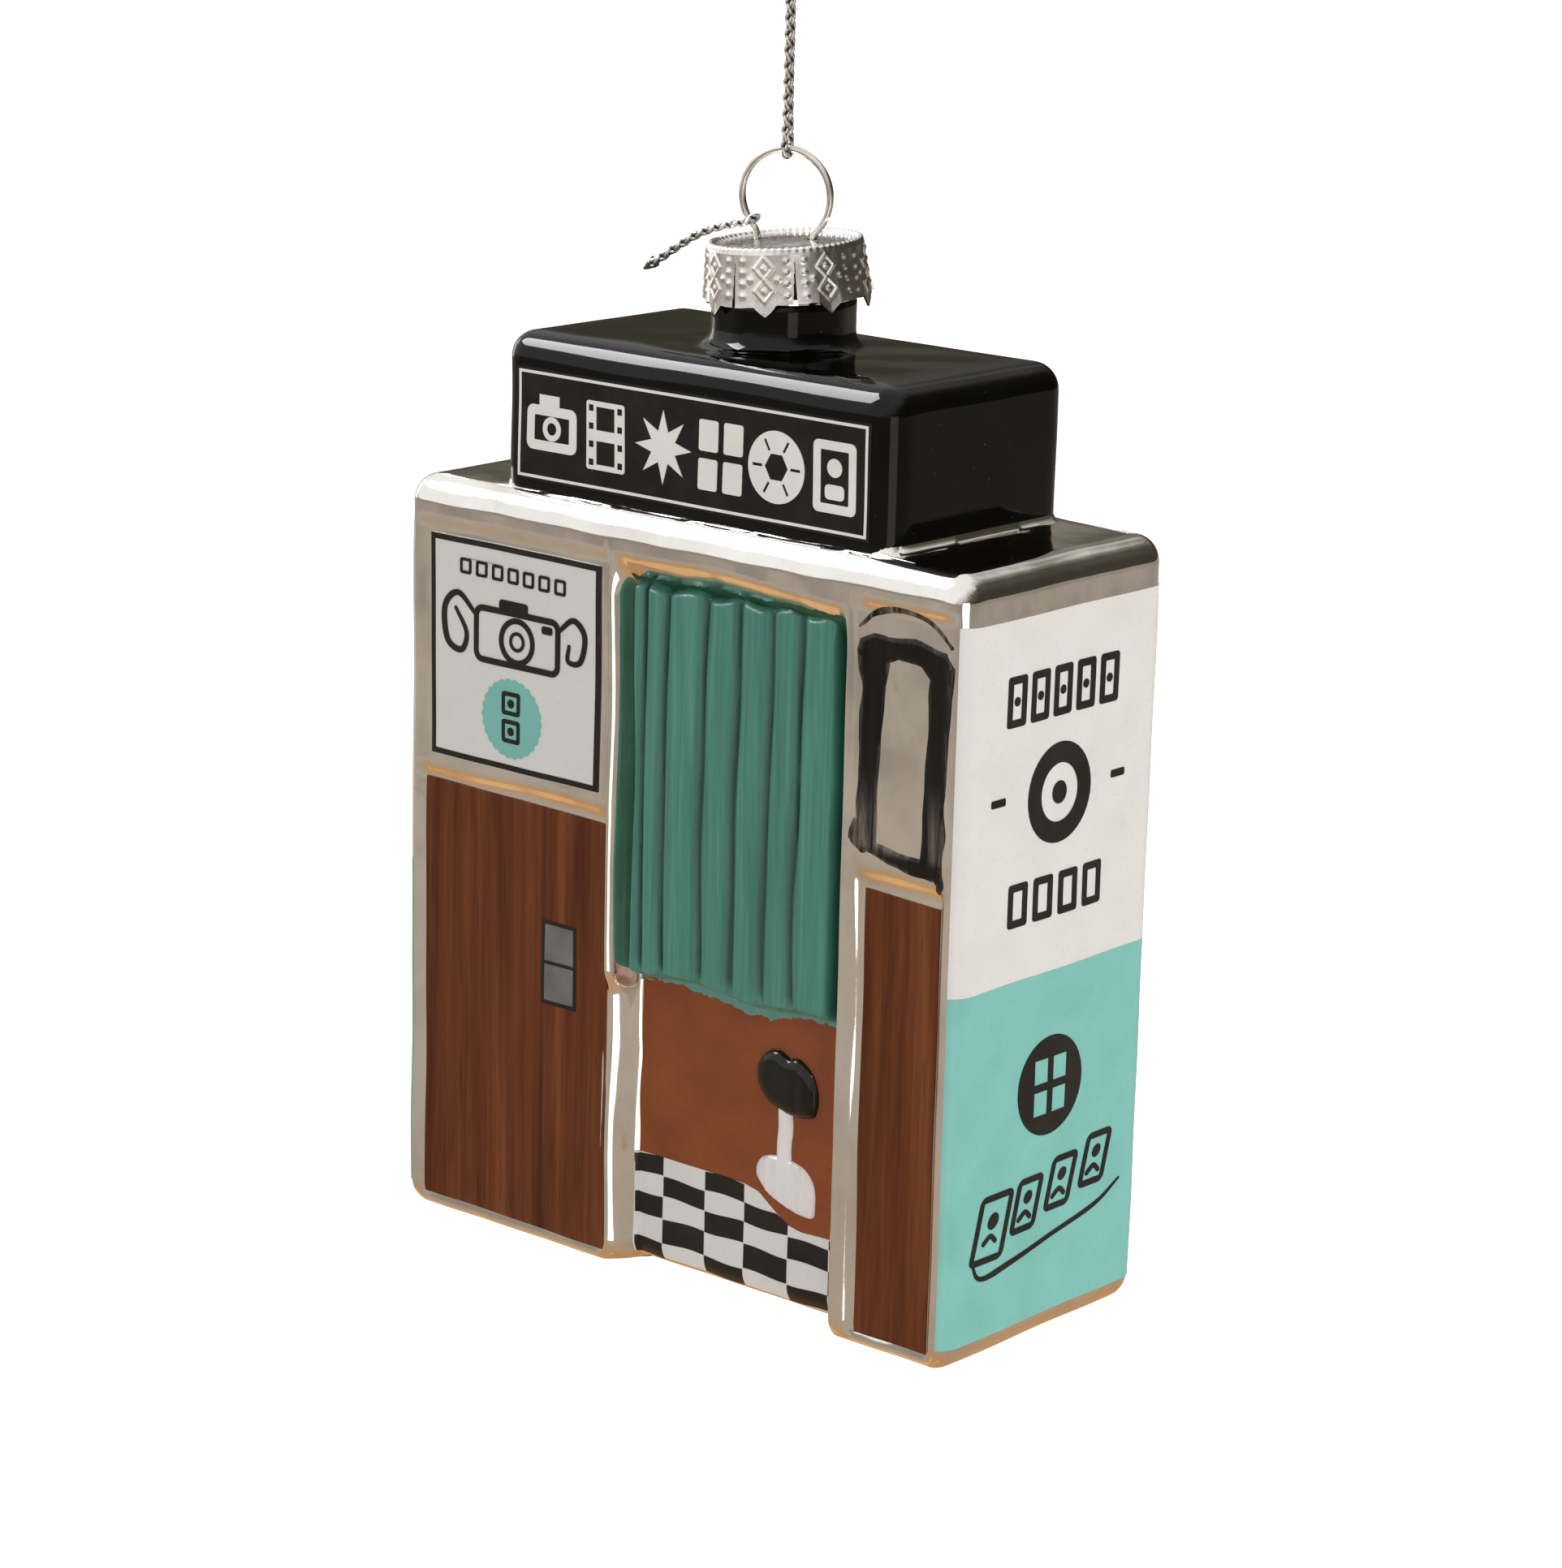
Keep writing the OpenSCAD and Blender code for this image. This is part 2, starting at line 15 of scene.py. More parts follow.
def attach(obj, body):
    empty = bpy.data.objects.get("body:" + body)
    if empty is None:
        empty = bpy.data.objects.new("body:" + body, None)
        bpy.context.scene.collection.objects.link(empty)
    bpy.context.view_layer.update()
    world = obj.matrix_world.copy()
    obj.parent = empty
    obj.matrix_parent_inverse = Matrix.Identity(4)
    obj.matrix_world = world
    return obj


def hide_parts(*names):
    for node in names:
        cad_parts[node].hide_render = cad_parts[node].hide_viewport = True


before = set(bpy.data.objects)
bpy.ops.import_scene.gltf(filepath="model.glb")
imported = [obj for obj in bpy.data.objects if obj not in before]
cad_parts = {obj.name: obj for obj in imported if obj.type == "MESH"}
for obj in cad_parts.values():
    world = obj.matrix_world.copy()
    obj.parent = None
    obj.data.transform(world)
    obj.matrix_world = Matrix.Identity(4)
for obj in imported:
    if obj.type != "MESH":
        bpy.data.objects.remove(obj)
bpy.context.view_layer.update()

HANG = 155.2
RING_TURN = math.radians(17.5)


def place(points):
    """Millimetres from the booth's underside to metres in the row frame."""
    return (np.asarray(points, float) - (0.0, 0.0, HANG)) / 1000.0


def build(name, verts, faces, body, slot, material, nodes=()):
    """A mesh piece from millimetre points, riding on a body and standing for CAD nodes."""
    mesh = bpy.data.meshes.new(name)
    mesh.from_pydata(place(verts).tolist(), [], [list(map(int, f)) for f in faces])
    mesh.validate()
    mesh.polygons.foreach_set("use_smooth", [True] * len(mesh.polygons))
    mesh.set_sharp_from_angle(angle=math.radians(55))
    mesh.materials.append(material)
    obj = bpy.data.objects.new(name, mesh)
    bpy.context.scene.collection.objects.link(obj)
    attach(obj, body)
    if nodes:
        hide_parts(*nodes)
    return obj


def paint(obj, name, values):
    """A number at each vertex, for the material to read."""
    attribute = obj.data.attributes.new(name, "FLOAT", "POINT")
    attribute.data.foreach_set("value", np.asarray(values, np.float32))


# ------------------------------------------------------------------ camera

camera = bpy.data.objects.new("camera", bpy.data.cameras.new("camera"))
bpy.context.scene.collection.objects.link(camera)
camera.data.sensor_width = 36
camera.data.lens = 102.59
camera.data.clip_start = 0.01
camera.data.clip_end = 50
right, up, back = (
    Vector((0.76174, 0.64741, 0.02468)),
    Vector((-0.17934, 0.17411, 0.96826)),
    Vector((0.62256, -0.74199, 0.24874)),
)
camera.matrix_world = Matrix.Translation((0.31195, -0.37013, 0.02405)) @ Matrix(
    (right, up, back)
).transposed().to_4x4()
bpy.context.scene.camera = camera

# ------------------------------------------------------------------ materials


class Nodes:
    """A node tree, with short ways to add noise, ramps and arithmetic."""

    def __init__(self, tree, where="Object"):
        self.tree = tree
        self.where = self.node("TexCoord").outputs[where]

    def node(self, kind, **sockets):
        made = self.tree.nodes.new("ShaderNode" + kind)
        for socket, value in sockets.items():
            made.inputs[socket.replace("_", " ")].default_value = value
        return made

    def link(self, source, target):
        self.tree.links.new(source, target)

    def linked(self, kind, *sources):
        """The output of a node whose first inputs take the sources, numbers or colours."""
        made = self.node(kind)
        for socket, source in zip(made.inputs, sources):
            self.put(source, socket)
        return made.outputs[0]

    def put(self, source, socket):
        if isinstance(source, (int, float)):
            socket.default_value = source
        elif isinstance(source, tuple):
            socket.default_value = (*source, 1)
        else:
            self.link(source, socket)

    def noise(self, scale, detail=3.0, rough=0.55, warp=0.0):
        """Noise of so many features a metre, or so many along each axis."""
        across = (scale,) * 3 if isinstance(scale, (int, float)) else scale
        mapping = self.node("Mapping", Scale=across)
        self.link(self.where, mapping.inputs["Vector"])
        node = self.node("TexNoise", Scale=1.0, Detail=detail, Roughness=rough, Distortion=warp)
        self.link(mapping.outputs["Vector"], node.inputs["Vector"])
        return node.outputs["Fac"]

    def vector(self, how, point):
        """The distance of the place from a point, or its dot product with a direction."""
        node = self.node("VectorMath")
        node.operation = how
        self.link(self.where, node.inputs[0])
        node.inputs[1].default_value = point
        return node.outputs["Value"]

    def ramp(self, source, *stops):
        node = self.node("ValToRGB")
        elements = node.color_ramp.elements
        while len(elements) < len(stops):
            elements.new(0.5)
        for element, (at, colour) in zip(elements, stops):
            element.position, element.color = at, (*colour, 1)
        self.link(source, node.inputs["Fac"])
        return node.outputs["Color"]

    def levels(self, source, low, high, to_low=0.0, to_high=1.0):
        node = self.node("MapRange", From_Min=low, From_Max=high, To_Min=to_low, To_Max=to_high)
        self.link(source, node.inputs["Value"])
        return node.outputs["Result"]

    def sums(self, first, second, how="ADD"):
        node = self.node("Math")
        node.operation = how
        for socket, value in zip(node.inputs, (first, second)):
            self.put(value, socket)
        return node.outputs["Value"]

    def mix(self, first, second, share):
        node = self.node("Mix")
        node.data_type = "RGBA"
        for socket, value in zip((0, 6, 7), (share, first, second)):
            self.put(value, node.inputs[socket])
        return node.outputs[2]


class Paint(Nodes):
    """A Principled material, with short ways to set its colour, roughness and bump."""

    def __init__(self, name, **sockets):
        self.material = bpy.data.materials.new(name)
        self.material.use_nodes = True
        super().__init__(self.material.node_tree)
        self.shader = self.tree.nodes["Principled BSDF"]
        for socket, value in sockets.items():
            self.shader.inputs[socket.replace("_", " ")].default_value = value
        self.height = None

    def attribute(self, name):
        node = self.node("Attribute")
        node.attribute_name = name
        return node.outputs["Fac"]

    def bump(self, source, depth_mm, strength=1.0):
        node = self.node("Bump", Distance=depth_mm / 1000.0, Strength=strength)
        self.link(source, node.inputs["Height"])
        if self.height:
            self.link(self.height, node.inputs["Normal"])
        self.height = node.outputs["Normal"]
        self.link(self.height, self.shader.inputs["Normal"])

    def colour(self, source):
        self.link(source, self.shader.inputs["Base Color"])

    def roughness(self, source):
        self.link(source, self.shader.inputs["Roughness"])


def silvered_glass():
    """Clear glass over silvering that is thinner and browner in patches."""
    p = Paint("silvered_glass", Metallic=1.0, Coat_Weight=0.5, Coat_Roughness=0.02)
    patches = p.noise(110, 4, 0.6, 0.4)
    tone = p.ramp(
        patches, (0.3, (0.76, 0.72, 0.67)), (0.52, (0.87, 0.84, 0.79)), (0.75, (0.93, 0.91, 0.87))
    )
    stain = p.levels(p.noise(230, 5, 0.65, 0.8), 0.62, 0.8, 0.0, 0.6)
    p.colour(p.mix(tone, (0.7, 0.52, 0.33), stain))
    p.roughness(p.levels(p.noise(420, 6, 0.7), 0.35, 0.75, 0.03, 0.12))
    p.bump(p.noise((120, 120, 60), 2, 0.4), 0.6, 0.5)
    p.bump(p.noise(1500, 3), 0.012, 0.25)
    return p.material


def black_enamel():
    """Poured gloss enamel with orange peel and a little dust."""
    p = Paint("black_enamel", Specular_IOR_Level=0.25)
    dust = p.levels(p.noise(1900, 2, 0.7), 0.73, 0.79, 0.0, 0.7)
    p.colour(p.mix(p.ramp(p.noise(160), (0.3, (0.001, 0.001, 0.001)), (0.7, (0.003, 0.003, 0.002))),
                   (0.16, 0.15, 0.13), dust))
    p.roughness(p.levels(p.noise(500, 4), 0.3, 0.7, 0.03, 0.1))
    p.bump(p.noise(90, 1, 0.4), 0.4, 0.3)
    p.bump(p.noise(1100, 2), 0.01, 0.3)
    return p.material


def printed(name, low, high, rough=0.3, speck=0.0):
    """A transfer print under a thin varnish: two near tones, a faint tooth and specks."""
    p = Paint(name, Specular_IOR_Level=0.3, Coat_Weight=0.12, Coat_Roughness=0.05)
    tone = p.ramp(p.noise(150, 3, 0.5, 0.3), (0.3, low), (0.7, high))
    if speck:
        grit = p.levels(p.noise(2600, 2, 0.7), 0.7, 0.78, 0.0, speck)
        tone = p.mix(tone, tuple(0.35 * c for c in low), grit)
    p.colour(tone)
    p.roughness(p.levels(p.noise(700, 4), 0.3, 0.7, rough - 0.07, rough + 0.09))
    p.bump(p.noise((900, 900, 160), 3), 0.006, 0.2)
    p.bump(p.noise(90, 2), 0.08, 0.2)
    return p.material


def wood_print():
    """Upright wood grain: broad figure, fine streaks, dark pores, under a satin varnish."""
    p = Paint("wood_print", Specular_IOR_Level=0.14, Coat_Weight=0.06, Coat_Roughness=0.05)
    figure = p.noise((170, 170, 9), 4, 0.6, 1.1)
    streaks = p.noise((900, 900, 22), 5, 0.65, 0.4)
    pores = p.noise((2600, 2600, 110), 3, 0.6)
    blend = p.sums(p.sums(figure, 0.6, "MULTIPLY"), p.sums(streaks, 0.4, "MULTIPLY"))
    tone = p.ramp(
        blend,
        (0.34, (0.068, 0.014, 0.005)),
        (0.46, (0.122, 0.031, 0.009)),
        (0.55, (0.165, 0.045, 0.013)),
        (0.68, (0.235, 0.072, 0.022)),
    )
    p.colour(p.mix(tone, (0.05, 0.014, 0.006), p.levels(pores, 0.6, 0.75, 0.0, 0.7)))
    p.roughness(p.levels(streaks, 0.3, 0.7, 0.24, 0.42))
    p.bump(pores, 0.03, 0.35)
    return p.material


def curtain_green():
    """Brushed enamel: streaks down the folds, painted shade darkening the fold valleys, the right
    flank and the top edge, and thin and dull at the hem.
    """
    p = Paint("curtain_green", Specular_IOR_Level=0.3, Coat_Weight=0.08, Coat_Roughness=0.12)
    streaks = p.noise((1300, 1300, 38), 5, 0.65, 0.5)
    fresh = p.ramp(
        streaks, (0.28, (0.05, 0.19, 0.142)), (0.5, (0.075, 0.25, 0.19)), (0.74, (0.11, 0.32, 0.25))
    )
    # Painted shade: the darker tone laid into the fold valleys
    wear_and_shade = p.ramp(streaks, (0.3, (0.022, 0.07, 0.053)), (0.7, (0.04, 0.115, 0.087)))
    tone = p.mix(fresh, wear_and_shade, p.attribute("valley_shade"))
    # Painted shade on the right flank by the jamb and under the top edge
    tone = p.mix(tone, (0.012, 0.075, 0.036), p.attribute("flank_shade"))
    p.colour(p.mix(tone, (0.13, 0.3, 0.255), p.attribute("hem")))
    p.roughness(p.levels(p.noise(600, 4), 0.3, 0.7, 0.28, 0.44))
    p.bump(streaks, 0.05, 0.5)
    p.bump(p.noise(420, 3), 0.06, 0.4)
    return p.material


def hand_enamel(name, low, high, bare=None, rough=0.16):
    """Thick brushed enamel with strokes, and where bare is given it is rubbed thin."""
    p = Paint(name, Specular_IOR_Level=0.3, Coat_Weight=0.05, Coat_Roughness=0.04)
    strokes = p.noise((800, 800, 70), 5, 0.65, 0.7)
    tone = p.ramp(strokes, (0.3, low), (0.72, high))
    if bare:
        worn = p.sums(p.attribute("wear_and_shade"), p.levels(strokes, 0.42, 0.62), "MULTIPLY")
        tone = p.mix(tone, bare, worn)
    p.colour(tone)
    p.roughness(p.levels(p.noise(500, 4), 0.3, 0.7, rough - 0.05, rough + 0.12))
    p.bump(strokes, 0.06, 0.35)
    p.bump(p.noise(260, 2), 0.1, 0.3)
    return p.material


def stamped_tin():
    """Thin bright tinplate with drawing lines and handling marks."""
    p = Paint("stamped_tin", Metallic=1.0)
    lines = p.noise((1500, 1500, 160), 5, 0.7)
    tone = p.ramp(p.noise(330, 4, 0.6), (0.3, (0.66, 0.61, 0.58)), (0.7, (0.88, 0.86, 0.83)))
    p.colour(p.mix(tone, (0.38, 0.33, 0.3), p.levels(p.noise(900, 4, 0.7), 0.6, 0.78, 0.0, 0.6)))
    p.roughness(p.levels(lines, 0.3, 0.7, 0.16, 0.34))
    p.bump(lines, 0.03, 0.4)
    p.bump(p.noise(500, 3), 0.08, 0.35)
    return p.material


def drawn_wire():
    p = Paint("drawn_wire", Metallic=1.0)
    p.colour(p.ramp(p.noise(500, 4), (0.3, (0.55, 0.5, 0.45)), (0.7, (0.8, 0.77, 0.73))))
    p.roughness(p.levels(p.noise(1800, 4), 0.3, 0.7, 0.14, 0.3))
    p.bump(p.noise(3000, 3), 0.01, 0.4)
    return p.material


def metal_braid():
    """Flat metal thread: bright where it turns to the light, grey and tan between, with painted
    shade near black on the core and on each yarn where it passes under.
    """
    p = Paint("metal_braid", Metallic=0.85)
    thread = p.noise(5200, 4, 0.6, 0.6)
    tone = p.ramp(
        thread, (0.3, (0.5, 0.47, 0.44)), (0.5, (0.82, 0.81, 0.79)), (0.72, (0.95, 0.95, 0.94))
    )
    # Painted shade: the core and the yarns where they pass under are darkened towards near black
    shade = p.levels(p.attribute("under_shade"), 0.3, 0.85)
    p.colour(p.mix(tone, (0.045, 0.036, 0.03), shade))
    p.roughness(p.levels(thread, 0.3, 0.7, 0.4, 0.2))
    p.bump(thread, 0.05, 0.6)
    return p.material


def charred_tip():
    p = Paint("charred_tip")
    p.colour(p.ramp(p.noise(2600, 4), (0.3, (0.02, 0.017, 0.015)), (0.7, (0.13, 0.11, 0.1))))
    p.roughness(p.levels(p.noise(1800, 3), 0.3, 0.7, 0.3, 0.55))
    p.bump(p.noise(2200, 3), 0.05, 0.6)
    return p.material


SILVER = silvered_glass()
BLACK = black_enamel()
WOOD = wood_print()
GREEN = curtain_green()
TIN = stamped_tin()
WIRE = drawn_wire()
BRAID = metal_braid()
CHAR = charred_tip()
OFF_WHITE = printed("off_white_print", (0.72, 0.69, 0.645), (0.76, 0.735, 0.69), 0.3)
WHITE = printed("white_print", (0.82, 0.79, 0.74), (0.9, 0.87, 0.83), 0.34)
TEAL = printed("teal_print", (0.2, 0.5, 0.44), (0.23, 0.55, 0.49), 0.3)
INK = printed("ink_print", (0.006, 0.005, 0.005), (0.014, 0.012, 0.01), 0.34)
FIELD = printed("black_print", (0.006, 0.006, 0.006), (0.013, 0.012, 0.011), 0.2, 0.0)
GREY = printed("grey_print", (0.1, 0.095, 0.088), (0.22, 0.205, 0.19), 0.3)
CLAY = printed("terracotta", (0.215, 0.05, 0.012), (0.28, 0.07, 0.017), 0.3, 0.2)
PEARL = hand_enamel("white_enamel", (0.76, 0.69, 0.66), (0.88, 0.84, 0.81), rough=0.2)
SEAT = hand_enamel("seat_enamel", (0.004, 0.004, 0.003), (0.018, 0.016, 0.013), rough=0.12)
BRUSHED = hand_enamel(
    "brushed_black", (0.002, 0.002, 0.002), (0.008, 0.007, 0.006), (0.2, 0.165, 0.13), 0.12
)

# ------------------------------------------------------------------ sweeps and cords


def smooth_line(points, step):
    """A rounded line through the points, with points one step apart along it."""
    p = np.asarray(points, float)
    ends = np.vstack([2 * p[0] - p[1], p, 2 * p[-1] - p[-2]])
    line = []
    for a, b, c, d in zip(ends, ends[1:], ends[2:], ends[3:]):
        for t in np.linspace(0, 1, 16, endpoint=False):
            line.append(
                0.5 * (2 * b + (c - a) * t + (2 * a - 5 * b + 4 * c - d) * t**2
                       + (3 * b - a - 3 * c + d) * t**3)
            )
    line = np.array(line + [p[-1]])
    along = np.r_[0, np.cumsum(np.linalg.norm(np.diff(line, axis=0), axis=1))]
    count = max(int(along[-1] / step), 2)
    at = np.linspace(0, along[-1], count + 1)
    return np.column_stack([np.interp(at, along, line[:, k]) for k in range(3)]), at


def carried_frame(line):
    """A tangent and two directions across it at each point, without twist."""
    tangent = np.gradient(line, axis=0)
    tangent /= np.linalg.norm(tangent, axis=1)[:, None]
    side = np.cross(tangent[0], (0.31, 0.87, 0.22))
    across = []
    for t in tangent:
        side = side - t * (side @ t)
        side = side / np.linalg.norm(side)
        across.append(side)
    across = np.array(across)
    return tangent, across, np.cross(tangent, across)


def around(cx, cz, reach):
    """A closed outline round a centre, at each of the reaches in turn."""
    a = np.linspace(0, 2 * math.pi, len(reach), endpoint=False)
    return [(cx + d * math.cos(t), cz + d * math.sin(t)) for t, d in zip(a, reach)]


def disc(cx, cz, r, count=40):
    return around(cx, cz, [r] * count)


def quads(rows, columns, closed=True):
    """Faces between rows of points, with the last column joined to the first if closed."""
    return [
        (i * columns + j, i * columns + (j + 1) % columns, (i + 1) * columns + (j + 1) % columns,
         (i + 1) * columns + j)
        for i in range(rows - 1)
        for j in range(columns if closed else columns - 1)
    ]


def sweep(line, radius, sides=8):
    """A round closed rod along a line; radius is one number or one for each point."""
    _, u, v = carried_frame(line)
    r = np.broadcast_to(radius, len(line))
    a = np.linspace(0, 2 * math.pi, sides, endpoint=False)
    verts = (
        line[:, None]
        + (r[:, None] * np.cos(a))[..., None] * u[:, None]
        + (r[:, None] * np.sin(a))[..., None] * v[:, None]
    ).reshape(-1, 3)
    last = (len(line) - 1) * sides
    ends = [tuple(range(sides - 1, -1, -1)), tuple(range(last, last + sides))]
    return verts, quads(len(line), sides) + ends


def merged(parts):
    verts, faces, base = [], [], 0
    for v, f in parts:
        verts.append(v)
        faces += [tuple(np.add(face, base)) for face in f]
        base += len(v)
    return np.vstack(verts), faces


def braid(points, diameter, pitch=3.4):
    """Two pairs of fat yarns that wind opposite ways and pass over and under each other."""
    line, at = smooth_line(points, 0.11)
    _, u, v = carried_frame(line)
    yarn = 0.25 * diameter
    middle, lift = diameter / 2 - yarn - 0.02, 0.06
    # Painted shade for each piece: 1 on the core, and rising on each yarn where it passes under the
    # other pair
    parts, under_shade = [sweep(line, 0.27 * diameter, 8)], [np.ones(8 * len(line))]
    for turn, over in ((1, 1), (-1, -1)):
        for start in (0, math.pi):
            angle = turn * 2 * math.pi * at / pitch + start
            above = over * np.cos(4 * math.pi * at / pitch)
            reach = middle + lift * above
            centre = line + reach[:, None] * (
                np.cos(angle)[:, None] * u + np.sin(angle)[:, None] * v
            )
            parts.append(sweep(centre, yarn * 0.92, 7))
            under_shade.append(np.repeat(0.5 - 0.5 * above, 7))
    return merged(parts), line, np.concatenate(under_shade)


def in_ring_plane(points):
    """Along the ring, across it and up, to the booth's own axes."""
    p = np.asarray(points, float)
    c, s = math.cos(RING_TURN), math.sin(RING_TURN)
    return np.column_stack([c * p[:, 0] - s * p[:, 1], s * p[:, 0] + c * p[:, 1], p[:, 2]])


def route(points):
    """Points of a cord's route from metres in the ring's plane, hung from the origin."""
    return np.asarray(points, float) * 1000 + (0, 0, HANG)


CORD_D = 0.84
STRAND = [(0, 0.0005, z) for z in (-0.0106, -0.0137, -0.0167, -0.0197, -0.0227)] + [
    (0, 0.00055, -0.0252), (0, 0.0007, -0.0272), (0, 0.00085, -0.0287),
]
EYE = [(-0.0026, 0, -0.0066), (-0.0038, 0, -0.0042), (-0.0037, 0, -0.0018), (-0.0022, 0, -0.0002)]
BIGHT_R = 0.00088
BIGHT = np.radians(range(0, 181, 36))


def mirrored(strand, x=1, y=1):
    """The points of a strand from its end to its start, on the other side."""
    return [(x * a, y * b, c) for a, b, c in reversed(strand)]


HANGING_ROUTE = (
    STRAND
    + [(0, BIGHT_R * math.cos(a), -0.02945 - BIGHT_R * math.sin(a)) for a in BIGHT]
    + mirrored(STRAND, y=-1)
    + [(-0.0009, -0.0003, -0.0086), *EYE, (0, 0, 0.0004), *mirrored(EYE, x=-1)]
    + [(0.001, 0.0003, -0.0086), (0.0004, 0.0006, -0.0097)]
)
TAG_STRAND = [
    (-0.0158, 0.00044, -0.0431), (-0.0142, 0.00045, -0.042), (-0.0125, 0.00046, -0.0408),
    (-0.0106, 0.00048, -0.0396), (-0.0088, 0.00052, -0.0388), (-0.0072, 0.00062, -0.0383),
    (-0.0056, 0.00078, -0.0379),
]
TAG_ROUTE = (
    TAG_STRAND
    + [
        (-0.0042 + 0.8155 * BIGHT_R * math.sin(a), BIGHT_R * math.cos(a),
         -0.03758 + 0.5787 * BIGHT_R * math.sin(a))
        for a in BIGHT
    ]
    + mirrored(TAG_STRAND, y=-1)
)


def wound_knot():
    """Three turns of the cord round both strands, with the ends tucked under."""
    turns = np.linspace(0, 3.1, 60)
    angle = 2 * math.pi * turns
    radius = 1.05 - 0.25 * (np.abs(turns - 1.55) > 1.42)
    points = np.column_stack([radius * np.cos(angle), radius * np.sin(angle), 143.9 + 0.66 * turns])
    return in_ring_plane(points)


def braided(name, points, body, node, pitch=3.4, swell=1.0):
    """A braid in place of a CAD node, and the line it follows."""
    mesh, line, under_shade = braid(points, CORD_D * swell, pitch)
    obj = build(name, *mesh, body, "braid", BRAID, [node])
    paint(obj, "under_shade", under_shade)
    return obj, line


knot, _ = braided("hanging_knot", wound_knot(), "cord", "cord_knot")
hanging, cord_line = braided(
    "hanging_braid", in_ring_plane(route(HANGING_ROUTE)), "cord", "hanging_cord"
)

tip_line, tip_at = smooth_line(
    in_ring_plane(
        route([(-0.01535, 0, -0.04279), (-0.0159, 0, -0.04317), (-0.0164, 0, -0.04352),
               (-0.01678, 0, -0.04378)])
    ),
    0.1,
)
tip_radius = np.interp(tip_at / tip_at[-1], [0, 0.25, 0.7, 1], [0.68, 0.62, 0.34, 0.1])
tip = build("tag_tip", *sweep(tip_line, tip_radius, 12), "tag", "fused_tip", CHAR,
            ["tag_loop_tip"])
tag, tag_line = braided("tag_braid", in_ring_plane(route(TAG_ROUTE)), "tag", "tag_loop", 3.0, 1.15)

# ------------------------------------------------------------------ wire and cap

RING_Z, RING_R, WIRE_R, HOLE_X = 120.6, 5.15, 0.4, 3.3
CAP_TOP = 115.7


def hanger_line():
    """One wire: left leg, up through the cap, round the ring, and down the right leg."""
    end = math.acos(HOLE_X / RING_R)
    turn = np.linspace(math.pi + end, -end, 64)
    slack = 1 + 0.008 * np.sin(3 * turn)
    ring = np.column_stack([RING_R * np.cos(turn) * slack, 0 * turn, RING_Z + RING_R * np.sin(turn)])
    leg = [(5.3, 0, 106.6), (4.6, 0, 109.3), (3.8, 0, 112.4), (HOLE_X, 0, 114.6), (HOLE_X, 0, 116.1)]
    left = [(-x, y, z) for x, y, z in leg]
    return in_ring_plane(np.vstack([left, ring[1:-1], leg[::-1]]))


build("ring_wire", *sweep(smooth_line(hanger_line(), 0.18)[0], WIRE_R, 16), "hanger", "wire",
      WIRE, ["wire_hanger"])


def bell(t, width):
    return np.exp(-((t / width) ** 2))


def emboss(x, z):
    """Height of the stamped pattern on one tab: two framed diamonds between rows of dots."""
    h = np.zeros_like(x)
    for low in (-1.75, -4.15):
        rim = np.abs(x) / 1.0 + np.abs(z - low) / 1.2
        h = np.maximum(h, bell(rim - 1, 0.17))
        h = np.maximum(h, bell(np.hypot(x, z - low), 0.27))
    for cx, heights in ((2.45, (-1.0, -2.2, -3.4, -4.7)), (1.55, (-2.95,)), (-1.55, (-2.95,)),
                        (-2.45, (-1.0, -2.2, -3.4, -4.7))):
        for cz in heights:
            h = np.maximum(h, bell(np.hypot(x - cx, z - cz), 0.26))
    return h


def crown_cap():
    """Plate with a beaded rim, and a skirt slit into eight embossed tabs with pointed ends."""
    tabs, columns = 8, 72
    count = tabs * columns
    phi = np.radians(2) + 2 * math.pi * np.arange(count) / count
    local = (np.arange(count) % columns) / columns - 0.5
    tab = np.arange(count) // columns
    lift = np.array([0.25, 0.55, 0.1, 0.12, 0.3, 0.2, 0.15, 0.75])[tab]
    sway = np.array([0.1, -0.25, 0.15, -0.1, 0.2, 0.0, -0.15, 0.3])[tab]
    point = 1.15 * np.clip(1 - np.abs(local) / 0.17, 0, 1) ** 0.8
    ragged = np.array([0.12 * noise.noise((math.cos(a) * 9, math.sin(a) * 9, 3)) for a in phi])
    bottom = -5.75 - point - ragged - 0.2 * np.sin(phi * 3)
    rows = []

    def ring(radius, height):
        r = np.broadcast_to(radius, count)
        rows.append(np.column_stack([r * np.cos(phi), r * np.sin(phi),
                                     np.broadcast_to(height, count) + 0 * r]))

    beads = 0.5 + 0.5 * np.cos(phi * 68)
    for r in (5.4, 6.4, 7.1, 7.6):
        ring(r, 0.05 - 0.1 * (r > 7))
    for angle in np.radians(range(170, -11, -18)):
        size = 0.3 + 0.07 * beads
        ring(8.18 + size * math.cos(angle), 0.02 + size * math.sin(angle) + 0.03 * beads)
    upper = len(rows)
    depth = np.linspace(0, 1, 54)
    for t in depth:
        z = -0.25 + t * (bottom + 0.25)
        out = 8.62 + 0.3 * t + lift * t**1.8 + sway * local * t
        ring(out + 0.16 * emboss(local * 6.8, z) * (np.abs(local) < 0.47), z)
    grid = np.array(rows)
    faces = []
    slit_row = upper + 9
    for i in range(len(rows) - 1):
        for j in range(count):
            gap = 1 + int(3.5 * (i - slit_row) / 40)
            if i >= slit_row and j % columns >= columns - gap:
                continue
            k = (j + 1) % count
            faces.append((i * count + j, (i + 1) * count + j, (i + 1) * count + k, i * count + k))
    return grid.reshape(-1, 3), faces, count


